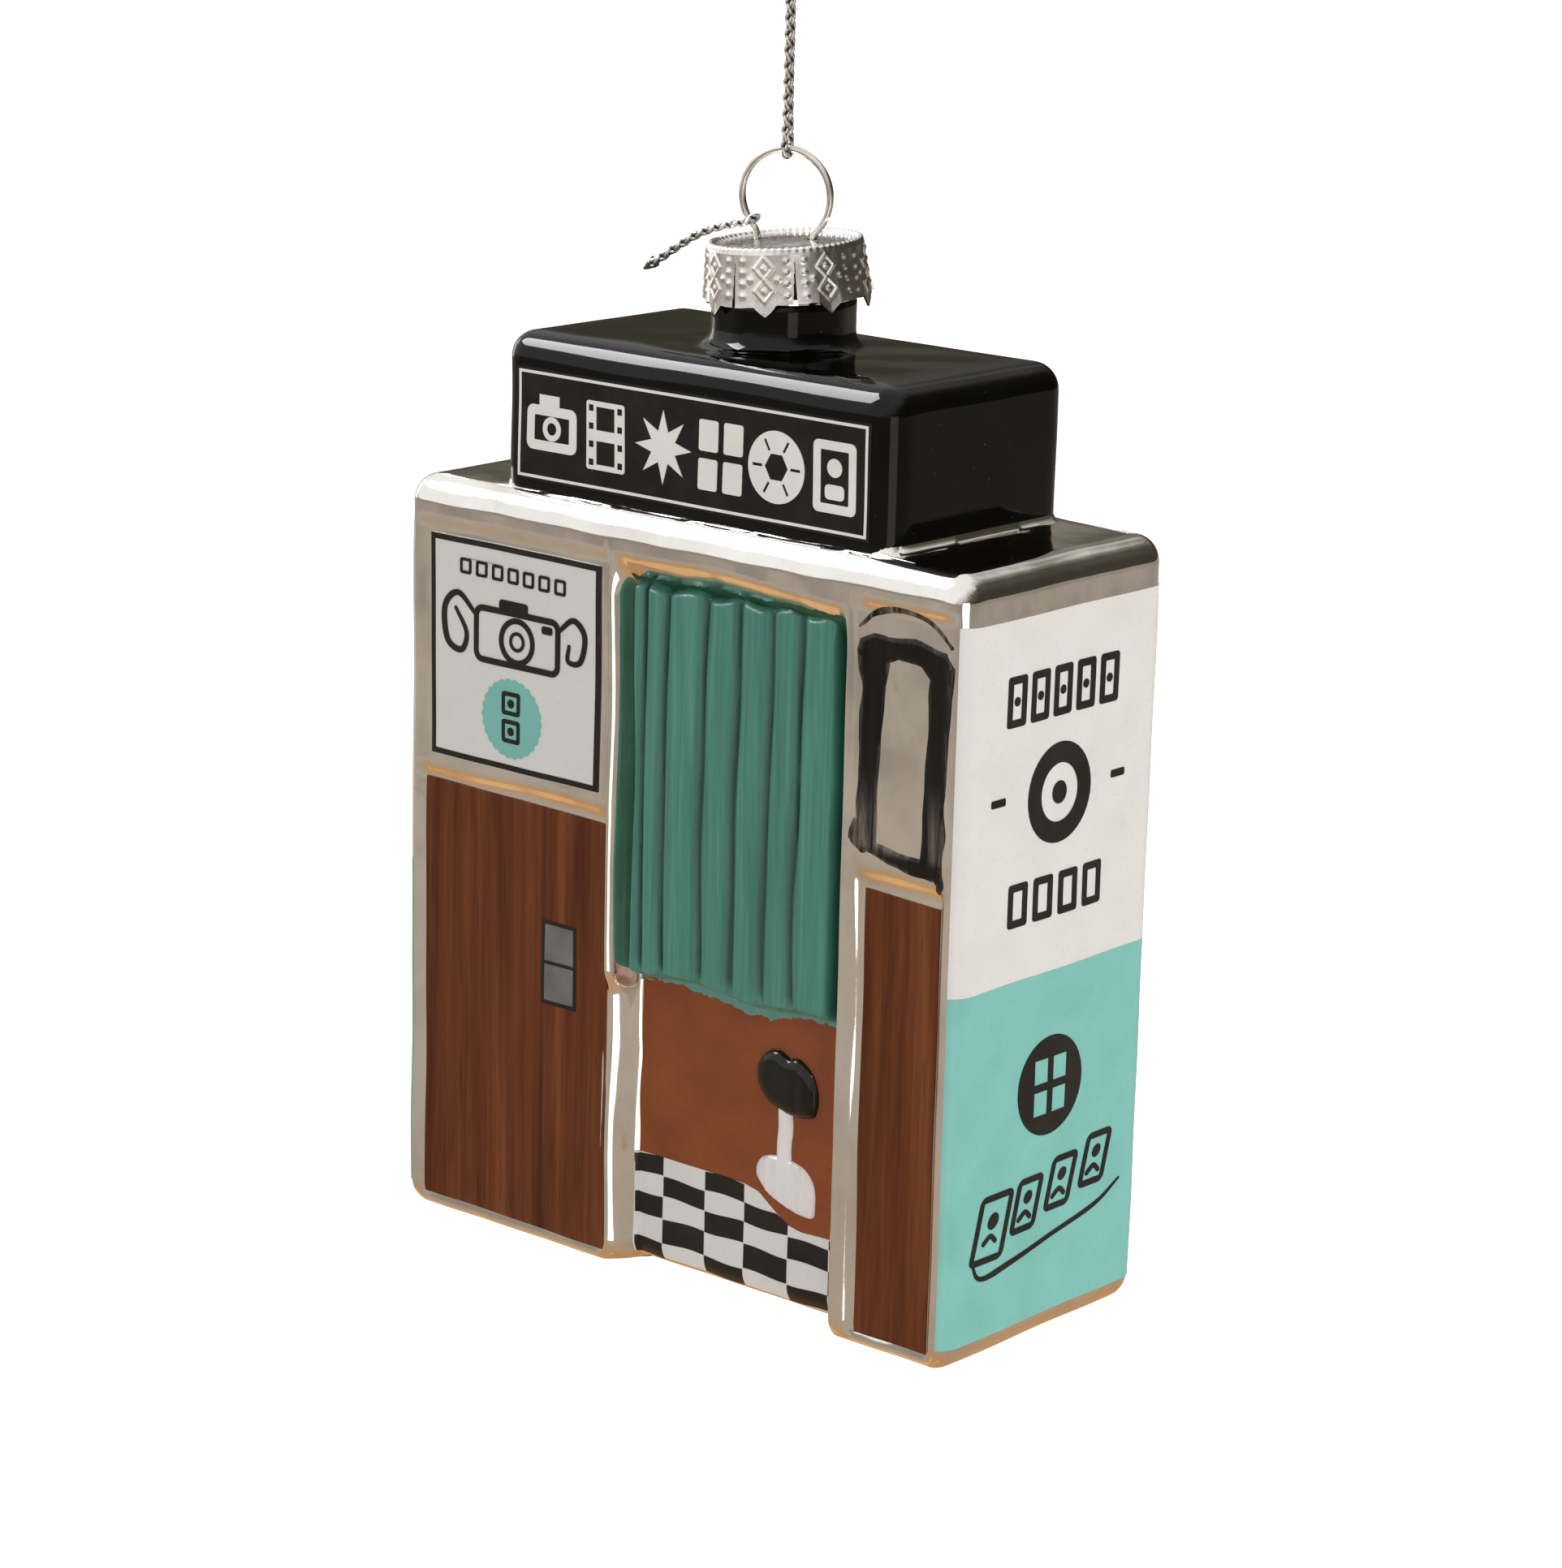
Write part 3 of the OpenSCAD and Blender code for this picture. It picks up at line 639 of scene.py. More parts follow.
def plate_with_holes(rim):
    """The cap's flat top inside a rim, with a hole for each leg of the wire."""
    points = [Vector(p[:2]) for p in rim]
    edges = [(i, (i + 1) % len(points)) for i in range(len(points))]
    holes = []
    for side in (-1, 1):
        cx, cy = in_ring_plane([(side * HOLE_X, 0, 0)])[0][:2]
        start = len(points)
        points += [Vector(p) for p in disc(cx, cy, 0.72, 28)]
        edges += [(start + i, start + (i + 1) % 28) for i in range(28)]
        holes.append((cx, cy))
    for r in (1.2, 2.4, 3.6, 4.6):
        for a in np.linspace(0, 2 * math.pi, int(10 * r), endpoint=False):
            spot = Vector((r * math.cos(a), r * math.sin(a)))
            if all((spot - Vector(h)).length > 0.9 for h in holes):
                points.append(spot)
    found, _, tris, *_ = delaunay_2d_cdt(points, edges, [], 0, 1e-6)
    kept = [t for t in tris
            if all((sum((found[k] for k in t), Vector((0, 0))) / 3 - Vector(h)).length > 0.7
                   for h in holes)]
    verts = np.array([(p.x, p.y, 0.05 + 0.012 * (5.4**2 - min(p.length, 5.4) ** 2)) for p in found])
    return verts, [tuple(t) for t in kept]


def boundary(faces):
    """Directed edges that only one face uses."""
    seen = dict.fromkeys(edge for f in faces for edge in zip(f, (*f[1:], f[0])))
    return [(a, b) for a, b in seen if (b, a) not in seen]


def vertex_normals(verts, faces):
    normals = np.zeros_like(verts)
    for size in (3, 4):
        some = np.array([f for f in faces if len(f) == size])
        if len(some):
            p = verts[some]
            n = np.cross(p[:, 2] - p[:, 0], p[:, -1] - p[:, 1] if size == 4 else p[:, 1] - p[:, 0])
            if size == 3:
                n = -n
            for k in range(size):
                np.add.at(normals, some[:, k], n)
    length = np.linalg.norm(normals, axis=1)
    return normals / np.maximum(length, 1e-12)[:, None]


def welded(verts, faces, tolerance=1e-4):
    """The mesh with points at one place made one, and faces that this flattens left out."""
    keys, remap, kept = {}, [], []
    for v in verts:
        key = tuple(np.round(v / tolerance).astype(int))
        if key not in keys:
            keys[key] = len(kept)
            kept.append(v)
        remap.append(keys[key])
    out = []
    for f in faces:
        g = tuple(remap[k] for k in f)
        g = tuple(a for a, b in zip(g, (*g[1:], g[0])) if a != b)
        if len(g) > 2:
            out.append(g)
    return np.array(kept), out


def turned(faces):
    """The faces with their normals the other way."""
    return [tuple(reversed(f)) for f in faces]


def thick(verts, faces, back):
    """A closed shell: the faces, the same faces moved back, and a rim between them."""
    n = len(verts)
    rim = [(b, a, a + n, b + n) for a, b in boundary(faces)]
    inner = [tuple(k + n for k in f) for f in turned(faces)]
    return np.vstack([verts, back]), [*faces, *inner, *rim]


def leaned_cap():
    skirt, skirt_faces, count = crown_cap()
    plate, plate_faces = plate_with_holes(skirt[:count])
    verts, faces = merged([(skirt, skirt_faces), (plate, plate_faces)])
    verts, faces = welded(verts, faces)
    normals = vertex_normals(verts, faces)
    if normals[np.argmax(verts[:, 2])][2] < 0:
        faces = turned(faces)
        normals = -normals
    verts, faces = thick(verts, faces, verts - 0.24 * normals)
    lean = np.array(Matrix.Rotation(math.radians(4.2), 3,
                                    (math.sin(math.radians(40)), -math.cos(math.radians(40)), 0)))
    return verts @ lean.T + (0, 0, CAP_TOP), faces


build("stamped_cap", *leaned_cap(), "cap", "cap", TIN, ["crown_cap"])

# ------------------------------------------------------------------ the glass surface

HALF_W, HALF_D, EDGE = 40.5, 17.75, 3.0
FLAT_W, FLAT_D = HALF_W - EDGE, HALF_D - EDGE
SHOULDER, SIGN_FOOT, SIGN_TOP = 87.0, 88.3, 104.4
UNDER_COAT, UNDER_PRINT = 0.04, 0.05
VALLEYS = np.array([-6.4, -4.9, -1.9, 3.6, 8.3, 12.9, 17.0, 21.6])


def rise(t):
    """0 below 0, 1 above 1, and smooth between."""
    t = np.clip(t, 0, 1)
    return t * t * t * (t * (6 * t - 15) + 10)


def panel(x, z, x0, x1, z0, z1, w):
    """1 inside a rectangle with soft edges w wide, 0 outside."""
    return rise((x - x0) / w) * rise((x1 - x) / w) * rise((z - z0) / w) * rise((z1 - z) / w)


def curtain_mask(x, z):
    left = -6.3 + 0.15 * np.sin(z / 7)
    top = 79.6 + 0.25 * np.sin(x * 0.9) + 0.02 * (x - 8)
    hem = 34.1 + 0.35 * np.sin(x * 0.35 + 1)
    return (rise((x - left + 0.7) / 1.3) * rise((22.6 - x) / 1.2)
            * rise((top - z) / 0.8) * rise((z - hem + 0.2) / 2.4))


def fold_valley(x, z):
    """How near a point is to the bottom of a valley between folds, 0 to 1."""
    wander = 0.35 * np.sin(z / 11.0 + 0.05 * x) + 0.12 * np.sin(z / 3.7 + x)
    near = np.zeros_like(x + z)
    for k, at in enumerate(VALLEYS[1:-1]):
        width = (0.5, 0.55, 0.65, 0.7, 0.65, 0.6)[k]
        near = np.maximum(near, bell(x - at - wander * (0.6 + 0.1 * k), width))
    return near


def crown_of_fold(x):
    """Roundness of each fold between its two valleys, 0 at the valleys and 1 between."""
    k = np.clip(np.searchsorted(VALLEYS, x) - 1, 0, len(VALLEYS) - 2)
    t = np.clip((x - VALLEYS[k]) / (VALLEYS[k + 1] - VALLEYS[k]), 0, 1)
    return 1 - np.abs(2 * t - 1) ** 2.6


def relief(x, z):
    """How far the front lies behind its flat plane, in millimetres."""
    x, z = np.broadcast_arrays(np.asarray(x, float), np.asarray(z, float))
    down = np.maximum((82.9 - 0.03 * (x + 6) + 0.25 * np.sin(x / 5) - z) / 3.2, 0)
    jamb = (x + 9.0 + 0.15 * np.sin(z / 6)) / 2.6
    chamfer = np.clip((x + 9.8 + 0.15 * np.sin(z / 4)) / 3.0, 0, 1)
    low = rise((35.5 - z) / 4)
    jamb = rise(jamb) * (1 - 0.7 * low) + chamfer * 0.7 * low
    door = jamb * rise((24.95 - x) / 2.1) * np.minimum(0.53 * down**1.4, 1)
    curtain = curtain_mask(x, z)
    folds = 0.75 * fold_valley(x, z) + 0.35 * (1 - crown_of_fold(x))
    behind = door * 4.55 * (1 - curtain) + curtain * (1.2 + folds)
    left = panel(x, z, -38.9, -8.4, 0.4, 83.0, 1.9)
    right = rise((x - 24.9) / 3.2) * panel(x, z, -99, 39.3, 0.4, 83.4, 2.0)
    # Below the step the columns lie further back, so the step looks down at the table
    step = rise((54.4 + 0.15 * np.sin(x / 4) - z) / 2.6)
    sunk = (0.32 + 0.72 * step) * left + (0.5 + 0.62 * step) * right
    ripple = (0.09 + 0.09 * np.sin(0.23 * x + 0.8) * np.sin(0.17 * z + 0.4)
              + 0.04 * np.sin(0.6 * x + 0.3 * z))
    seams = (0.12 * bell(x - 26.8 + 0.25 * np.sin(z / 8), 0.4)
             + 0.16 * bell(x - 25.4 - 0.2 * np.sin(z / 5), 0.35)
             + 0.2 * bell(x + 9.3 + 0.15 * np.sin(z / 6), 0.28)) * (z > 2) * rise((84 - z) / 3)
    return behind + (sunk + seams) * (1 - door) + ripple


def side_relief(side, y, z):
    return 0.13 + 0.1 * np.sin(0.31 * y + side) * np.sin(0.085 * z + 1.2) + 0.03 * np.sin(0.4 * z)


def back_relief(x, z):
    return 0.16 + 0.12 * np.sin(0.13 * x + 0.4) * np.sin(0.1 * z) + 0.03 * np.sin(0.5 * x + 0.3 * z)


def inset(z, low=0.0, high=SHOULDER, r=EDGE):
    """How far the walls draw in near the rounded bottom and top edges."""
    z = np.asarray(z, float)
    d = np.maximum(low + r - z, z - (high - r))
    d = np.clip(d, 0, r)
    return r - np.sqrt(np.maximum(r * r - d * d, 0))


def pressed(x, y, nx, ny, z):
    """A point of the booth's plan outline, moved in by the relief of the wall it is on."""
    d = (np.clip(-ny, 0, 1) ** 2 * relief(x, z)
         + nx**2 * side_relief(np.sign(nx), y, z)
         + np.clip(ny, 0, 1) ** 2 * back_relief(x, z))
    return np.stack([x - nx * d, y - ny * d, z + 0 * x], -1)


def spread(*stretches):
    """Numbers from stretches of (start, end, spacing), each following the last."""
    parts = [np.linspace(a, b, max(int(round((b - a) / step)), 1), endpoint=False)
             for a, b, step in stretches]
    return np.concatenate([*parts, [stretches[-1][1]]])


FRONT_X = spread((-FLAT_W, -10, 0.55), (-10, -5.4, 0.13), (-5.4, 20.6, 0.26), (20.6, 27.5, 0.13),
                 (27.5, FLAT_W, 0.5))
BACK_X = np.linspace(FLAT_W, -FLAT_W, 90)
SIDE_Y = np.linspace(-FLAT_D, FLAT_D, 34)
ARC = np.radians(np.linspace(0, 90, 9))[1:-1]


def outline():
    """For each point of a loop: its place as a share of the straight parts, and its normal."""
    rows = [(x / FLAT_W, -1, 0, -1) for x in FRONT_X]
    rows += [(1, -1, math.sin(a), -math.cos(a)) for a in ARC]
    rows += [(1, y / FLAT_D, 1, 0) for y in SIDE_Y]
    rows += [(1, 1, math.cos(a), math.sin(a)) for a in ARC]
    rows += [(x / FLAT_W, 1, 0, 1) for x in BACK_X]
    rows += [(-1, 1, -math.sin(a), math.cos(a)) for a in ARC]
    rows += [(-1, y / FLAT_D, -1, 0) for y in SIDE_Y[::-1]]
    rows += [(-1, -1, -math.cos(a), -math.sin(a)) for a in ARC]
    return np.array(rows, float).T


CX, CY, NX, NY = outline()


def booth_loop(z):
    c = EDGE - float(inset(z))
    x, y = CX * FLAT_W + NX * c, CY * FLAT_D + NY * c
    return pressed(x, y, NX, NY, np.full_like(x, z))


def sign_wobble(x, y, z):
    return 0.08 + 0.07 * np.sin(0.21 * x + 0.5) * np.sin(0.4 * z) + 0.03 * np.sin(0.5 * y + 0.3 * z)


def sign_loop(z, grow=0.0):
    c = 3.0 - float(inset(z, 80, SIGN_TOP, 3.0))
    x, y = CX * 24.9 + NX * c, CY * 12.0 + NY * c
    d = sign_wobble(x, y, z) - grow
    return np.stack([x - NX * d, y - NY * d, np.full_like(x, z)], -1)


def neck_loop(radius, z, like):
    """A ring of the neck, slightly out of round, with its points in line with a loop's."""
    a = np.arctan2(like[:, 1], like[:, 0])
    r = radius - 0.1 + 0.1 * np.cos(9 * a + 0.4) + 0.05 * np.sin(4 * a)
    return np.stack([r * np.cos(a), r * np.sin(a), np.full_like(a, z)], -1)


def tower(grow=0.0):
    """Loops up the sign box, in over its top, and up the neck."""
    loops = [sign_loop(z, grow) for z in spread((SIGN_FOOT, SIGN_TOP - 3, 0.8))]
    loops += [sign_loop(SIGN_TOP - 3 + 3 * math.sin(a), grow) for a in np.radians(range(9, 82, 9))]
    rim = sign_loop(SIGN_TOP - 3 + 3 * math.sin(math.radians(84)), grow)
    foot = neck_loop(9.7 + grow, 0, rim)
    for t in (0.12, 0.3, 0.5, 0.7, 0.86, 1.0):
        p = rim * (1 - t) + foot * t
        top = SIGN_TOP + grow + 0.08 * np.sin(0.4 * p[:, 0]) * np.sin(0.5 * p[:, 1]) - 0.1
        loops.append(np.column_stack([p[:, 0], p[:, 1], top]))
    for a in np.radians(range(15, 91, 15)):
        loops.append(neck_loop(9.7 - 1.9 * math.sin(a) + grow,
                               104.3 + grow + 1.9 * (1 - math.cos(a)), rim))
    return loops, rim


def stitched(loops):
    """Quads between loops of the same number of points."""
    return np.vstack(loops), quads(len(loops), len(loops[0]))


def floor_of_loop(loop):
    """A grid over the flat bottom, joined to the loop round it."""
    centre = np.array([loop[:, 0].mean(), 2.0, loop[:, 2].mean()])
    rings = [loop]
    for t in (0.15, 0.35, 0.6, 0.85):
        rings.append(loop * (1 - t) + centre * t + (0, 0, 0.12 * t))
    verts, faces = stitched(rings)
    n, tail = len(loop), len(verts)
    faces += [(tail - n + j, tail - n + (j + 1) % n, tail) for j in range(n)]
    return np.vstack([verts, centre + (0, 0, 0.12)]), faces


def glass():
    """Booth, sign box and neck in one closed skin, with the hollow inside it."""
    edge = [EDGE * (1 - math.cos(a)) for a in np.radians(range(11, 90, 11))]
    body = spread((3, 31.5, 0.7), (31.5, 37, 0.24), (37, 51.5, 0.7), (51.5, 56, 0.25),
                  (56, 76.8, 0.7), (76.8, 84, 0.22))
    loops = [booth_loop(z) for z in (0, *edge)] + [booth_loop(z) for z in body]
    loops += [booth_loop(SHOULDER - z) for z in edge[::-1]]
    shoulder, foot = loops[-1], sign_loop(SIGN_FOOT)
    for t in (0.12, 0.3, 0.5, 0.7, 0.86, 0.95):
        p = shoulder * (1 - t) + foot * t
        height = 86.95 + 0.1 * np.sin(0.3 * p[:, 0]) + 0.35 * t**6
        loops.append(np.column_stack([p[:, 0], p[:, 1], height]))
    up, rim = tower()
    loops += up
    for z in (107.5, 109.5, 111.5, 113.4):
        loops.append(neck_loop(7.8, z, rim))
    for r, z in ((7.7, 114.3), (7.2, 114.6), (6.7, 114.4), (6.6, 112), (6.6, 106), (6.6, 103)):
        loops.append(neck_loop(r, z, rim))
    inner = sign_loop(95)
    for scale_x, scale_y, z in ((0.86, 0.8, 101.8), (0.9, 0.86, 98), (0.9, 0.86, 87)):
        loops.append(inner * (scale_x, scale_y, 0) + (0, 0, z))
    for z in (84.5, 60, 30, 3.2):
        cx, cy = CX * 36 + NX * 2, CY * 12 + NY * 1.6
        loops.append(np.column_stack([cx, cy + 2.4, np.full(len(cx), z)]))
    verts, faces = stitched(loops)
    for first, flip in ((0, True), (len(loops) - 1, False)):
        cap_verts, cap_faces = floor_of_loop(loops[first])
        base = len(verts)
        verts = np.vstack([verts, cap_verts])
        faces += [tuple(base + k for k in f) for f in (turned(cap_faces) if flip else cap_faces)]
    return welded(verts, faces)


build("silver_glass", *glass(), "glass", "silvered_glass", SILVER, ["glass_body"])

# ------------------------------------------------------------------ layers on the glass


def slopes(height, u, v, h=0.02):
    """How steeply a wall's height rises along each of its two directions."""
    return ((height(u + h, v) - height(u - h, v)) / (2 * h),
            (height(u, v + h) - height(u, v - h)) / (2 * h))


def on_front(x, z):
    """Points and outward normals of the front."""
    def depth(x, z):
        return inset(z) + relief(x, z) - HALF_D

    gx, gz = slopes(depth, x, z)
    n = np.stack([gx, -np.ones_like(gx), gz], -1)
    return np.stack([x, depth(x, z), z], -1), n / np.linalg.norm(n, axis=1)[:, None]


def on_right(y, z):
    """Points and outward normals of the right-hand wall."""
    def reach(y, z):
        return HALF_W - inset(z) - side_relief(1.0, y, z)

    gy, gz = slopes(reach, y, z)
    n = np.stack([np.ones_like(gy), -gy, -gz], -1)
    return np.stack([reach(y, z), y, z], -1), n / np.linalg.norm(n, axis=1)[:, None]


def on_sign(x, z):
    """Points and outward normals of the enamelled front of the sign box."""
    y = -15.0 + sign_wobble(x, -15.0, z) - 0.2
    n = np.tile((0.0, -1.0, 0.0), (len(x), 1))
    return np.stack([x, y, z], -1), n


def dense(loop, step):
    """The loop with points no more than a step apart."""
    out = []
    for a, b in zip(loop, [*loop[1:], loop[0]]):
        a, b = np.asarray(a, float), np.asarray(b, float)
        count = max(int(math.ceil(np.linalg.norm(b - a) / step)), 1)
        out += [a + (b - a) * k / count for k in range(count)]
    return np.array(out)


def inside(points, loop):
    x, y = points[:, 0], points[:, 1]
    hit = np.zeros(len(points), bool)
    for (x0, y0), (x1, y1) in zip(loop, np.roll(loop, -1, 0)):
        crosses = (y0 > y) != (y1 > y)
        if y1 != y0:
            hit ^= crosses & (x < (x1 - x0) * (y - y0) / (y1 - y0) + x0)
    return hit


def covered(points, shapes):
    """Which points are in a shape and in none of its holes."""
    hit = np.zeros(len(points), bool)
    for outer, *holes in shapes:
        own = inside(points, outer)
        for hole in holes:
            own &= ~inside(points, hole)
        hit |= own
    return hit


def layer(shapes, surface, film, step=0.5, round_by=0.0):
    """A closed thin shell laid on a surface. Each shape is an outer loop and its holes."""
    shapes = [[dense(loop, step) for loop in shape] for shape in shapes]
    points, edges = [], []
    for shape in shapes:
        for loop in shape:
            start = len(points)
            points += list(loop)
            edges += [(start + i, start + (i + 1) % len(loop)) for i in range(len(loop))]
    every = np.array(points)
    low, high = every.min(0), every.max(0)
    nx, ny = (max(int((high[k] - low[k]) / step), 1) for k in (0, 1))
    gx, gy = np.meshgrid(np.linspace(low[0], high[0], nx + 1)[1:-1] + 0.011,
                         np.linspace(low[1], high[1], ny + 1)[1:-1] + 0.013)
    extra = np.column_stack([gx.ravel(), gy.ravel()])
    if len(extra):
        tree = kdtree.KDTree(len(points))
        for i, p in enumerate(points):
            tree.insert((p[0], p[1], 0), i)
        tree.balance()
        extra = extra[covered(extra, shapes)]
        extra = [p for p in extra if tree.find((p[0], p[1], 0))[2] > 0.45 * step]
    points += list(extra)
    found, _, tris, *_ = delaunay_2d_cdt([Vector(p) for p in points], edges, [], 0, 1e-5)
    flat = np.array([(p.x, p.y) for p in found])
    tris = np.array([t for t in tris if len(t) == 3])
    tris = tris[covered(flat[tris].mean(1), shapes)]
    used, back = np.unique(tris, return_inverse=True)
    tris, flat = back.reshape(-1, 3), flat[used]
    faces = [tuple(t) for t in tris]
    spots, normals = surface(flat[:, 0], flat[:, 1])
    tree = kdtree.KDTree(len(flat))
    for k in {k for edge in boundary(faces) for k in edge}:
        tree.insert((*flat[k], 0), k)
    tree.balance()
    away = np.array([tree.find((*p, 0))[2] for p in flat])
    if round_by:
        t = np.clip(away / round_by, 0, 1)
        lift = film * (0.15 + 0.85 * np.sqrt(1 - (1 - t) ** 2))
    else:
        lift = np.full(len(flat), film)
    a, b, c = (spots[tris[:, k]] for k in range(3))
    if (np.cross(b - a, c - a) * normals[tris[:, 0]]).sum() < 0:
        faces = turned(faces)
    return (*thick(spots + lift[:, None] * normals, faces, spots - UNDER_PRINT * normals),
            flat, away)


def add_layer(name, shapes, surface, film, slot, material, nodes=(), **more):
    verts, faces, flat, away = layer(shapes, surface, film, **more)
    obj = build(name, verts, faces, "glass", slot, material, nodes)
    return obj, np.vstack([flat, flat]), np.concatenate([away, away])


def box(x0, x1, z0, z1):
    return [(x0, z0), (x1, z0), (x1, z1), (x0, z1)]


def soft_box(x0, x1, z0, z1, r=0.8):
    loop = []
    for cx, cz, start in ((x1 - r, z0 + r, -90), (x1 - r, z1 - r, 0), (x0 + r, z1 - r, 90),
                          (x0 + r, z0 + r, 180)):
        for a in np.radians(np.linspace(start, start + 90, 6)):
            loop.append((cx + r * math.cos(a), cz + r * math.sin(a)))
    return loop


def frame_of(x0, x1, z0, z1, line, r=0.0):
    if r:
        return [soft_box(x0, x1, z0, z1, r),
                soft_box(x0 + line, x1 - line, z0 + line, z1 - line, max(r - line, 0.12))]
    return [box(x0, x1, z0, z1), box(x0 + line, x1 - line, z0 + line, z1 - line)]


def hoop(cx, cz, outer, inner):
    return [disc(cx, cz, outer), disc(cx, cz, inner)]


def stroke(points, width):
    """A line drawn with a round pen, as one outline; width is one number or several along it."""
    p = smooth_line([(x, z, 0) for x, z in points], 0.25)[0][:, :2]
    t = np.gradient(p, axis=0)
    t /= np.linalg.norm(t, axis=1)[:, None]
    n = np.column_stack([-t[:, 1], t[:, 0]])
    w = np.interp(np.linspace(0, 1, len(p)), np.linspace(0, 1, np.size(width)), np.ravel(width))
    n *= w[:, None] / 2
    out = []
    for line, side in ((p, n), (p[::-1], -n[::-1])):
        start, reach = math.atan2(side[-1][1], side[-1][0]), np.linalg.norm(side[-1])
        out += [*(line + side), *(line[-1] + reach * np.array((math.cos(start - a),
                                                              math.sin(start - a)))
                                  for a in np.linspace(0.5, math.pi - 0.5, 5))]
    return [out]


def wavy(loop, amount, scale, seed=0.0, step=0.5):
    """The loop with a hand-brushed edge."""
    p = dense(loop, step)
    t = np.roll(p, -1, 0) - np.roll(p, 1, 0)
    t /= np.maximum(np.linalg.norm(t, axis=1), 1e-9)[:, None]
    n = np.column_stack([t[:, 1], -t[:, 0]])
    push = [amount * noise.noise((x / scale, z / scale, seed)) for x, z in p]
    return p + n * np.array(push)[:, None]


# Black enamel over the sign box and neck


def enamel_skin():
    loops, rim = tower(0.2)
    low = [sign_loop(87.05, 0.12), sign_loop(87.4, 0.2)]
    high = [neck_loop(8.0, z, rim) for z in (107.5, 109.0, 109.6)] + [neck_loop(7.85, 109.8, rim)]
    outer, faces = stitched([*low, *loops, *high])
    base, base_rim = tower(-0.03)
    inner = [sign_loop(87.05, -0.03), sign_loop(87.4, -0.03), *base,
             *[neck_loop(7.75, z, base_rim) for z in (107.5, 109.0, 109.6, 109.8)]]
    return thick(outer, faces, np.vstack(inner))


build("sign_gloss", *enamel_skin(), "glass", "black_enamel", BLACK, ["sign_enamel"])

add_layer("sign_band", [[wavy(box(-25.4, 25.2, 88.2, 100.7), 0.1, 9)]], on_sign, 0.08,
          "black_print", FIELD, ["sign_field"], step=0.9)
add_layer("sign_line", [frame_of(-25.0, 24.8, 88.5, 100.4, 0.32)], on_sign, 0.14,
          "white_print", WHITE, ["sign_border"], step=0.7)


def sign_icons():
    """Camera, film strip, flash, four photos, lens and portrait, in one plain weight."""
    m, w = 94.4, 1.1
    shapes = [frame_of(-23.7, -16.3, m - 2.7, m + 2.3, w, 0.9), hoop(-20, m - 0.2, 1.35, 0.7),
              [box(-21.9, -18.9, m + 2.2, m + 3.5)]]
    holes = [box(x - 0.36, x + 0.36, m + z - 0.36, m + z + 0.36)
             for x in (-14.1, -9.9) for z in (-3, -1, 1, 3)]
    windows = [box(-13.35, -10.65, m + z - 1.3, m + z + 1.3) for z in (-1.9, 1.9)]
    shapes += [[soft_box(-14.8, -9.2, m - 3.8, m + 3.8, 0.35), *holes, *windows]]
    shapes += [[around(-3.6, m, [4.05, 0.45 * 4.05] * 8)]]
    shapes += [[soft_box(x, x + 2.7, z, z + 3.4, 0.3)]
               for x in (1.5, 5.0) for z in (m - 3.8, m + 0.4)]
    blades = []
    for a in np.radians(range(0, 360, 60)):
        c, s = math.cos(a), math.sin(a)
        blades.append([(12.4 + c * u - s * v, m + s * u + c * v)
                       for u, v in ((1.95, -0.16), (3.3, -0.16), (3.3, 0.16), (1.95, 0.16))])
    shapes += [[disc(12.4, m, 3.9), disc(12.4, m, 1.6, 6), *blades]]
    shapes += [frame_of(17.5, 23.3, m - 3.85, m + 3.85, w * 0.9, 0.7), [disc(20.4, m + 1.0, 1.0)],
               [soft_box(19.1, 21.7, m - 2.4, m - 0.8, 0.5)]]
    return shapes


add_layer("sign_icons", sign_icons(), on_sign, 0.15, "white_print", WHITE, ["sign_pictograms"],
          step=0.5)

# Poster

POSTER = [(-36.0, 55.2), (-10.5, 55.1), (-10.3, 80.7), (-36.2, 80.8)]
add_layer("poster_paper", [[POSTER]], on_front, 0.1, "off_white_print", OFF_WHITE,
          ["poster_sheet"], step=0.7)
add_layer(
    "poster_line",
    [[[(-36.0, 55.25), (-10.4, 55.15), (-10.25, 80.65), (-36.15, 80.75)],
      [(-35.4, 55.9), (-11.05, 55.8), (-10.9, 80.0), (-35.55, 80.1)]]],
    on_front, 0.16, "ink_print", INK, ["poster_border"], step=0.6)


def poster_marks():
    """Seven small frames over a camera with a looped strap, and a strip of two frames."""
    shapes = [frame_of(-31.6 + 2.4 * i, -29.9 + 2.4 * i, 76.7 - 0.05 * i, 78.5 - 0.05 * i, 0.34, 0.3)
              for i in range(7)]
    shapes += [frame_of(-29.4, -16.2, 67.0, 73.6, 0.72, 1.3), hoop(-22.8, 70.1, 2.7, 2.05),
               hoop(-22.8, 70.1, 1.15, 0.75), [soft_box(-25.6, -21.2, 73.3, 74.6, 0.4)],
               [soft_box(-19.0, -17.4, 71.7, 72.6, 0.3)]]
    shapes += [stroke([(-29.2, 72.4), (-31.9, 74.4), (-34.0, 72.6), (-33.6, 68.8), (-31.4, 67.9),
                       (-30.6, 70.0), (-32.3, 72.6)], (0.5, 0.75, 0.8, 0.7, 0.45)),
               stroke([(-16.4, 72.4), (-14.3, 73.9), (-12.6, 72.4), (-13.2, 69.4), (-15.0, 69.2),
                       (-14.9, 70.9)], (0.5, 0.75, 0.7, 0.45))]
    for z in (59.75, 62.95):
        shapes += [frame_of(-24.9, -22.1, z - 1.35, z + 1.35, 0.5, 0.4), [disc(-23.5, z, 0.5)]]
    return shapes


def scallops(cx, cz, r, count=26, depth=0.22):
    a = np.linspace(0, 2 * math.pi, count * 8, endpoint=False)
    return [around(cx, cz, r + depth * np.abs(np.cos(a * count / 2)) - depth / 2)]


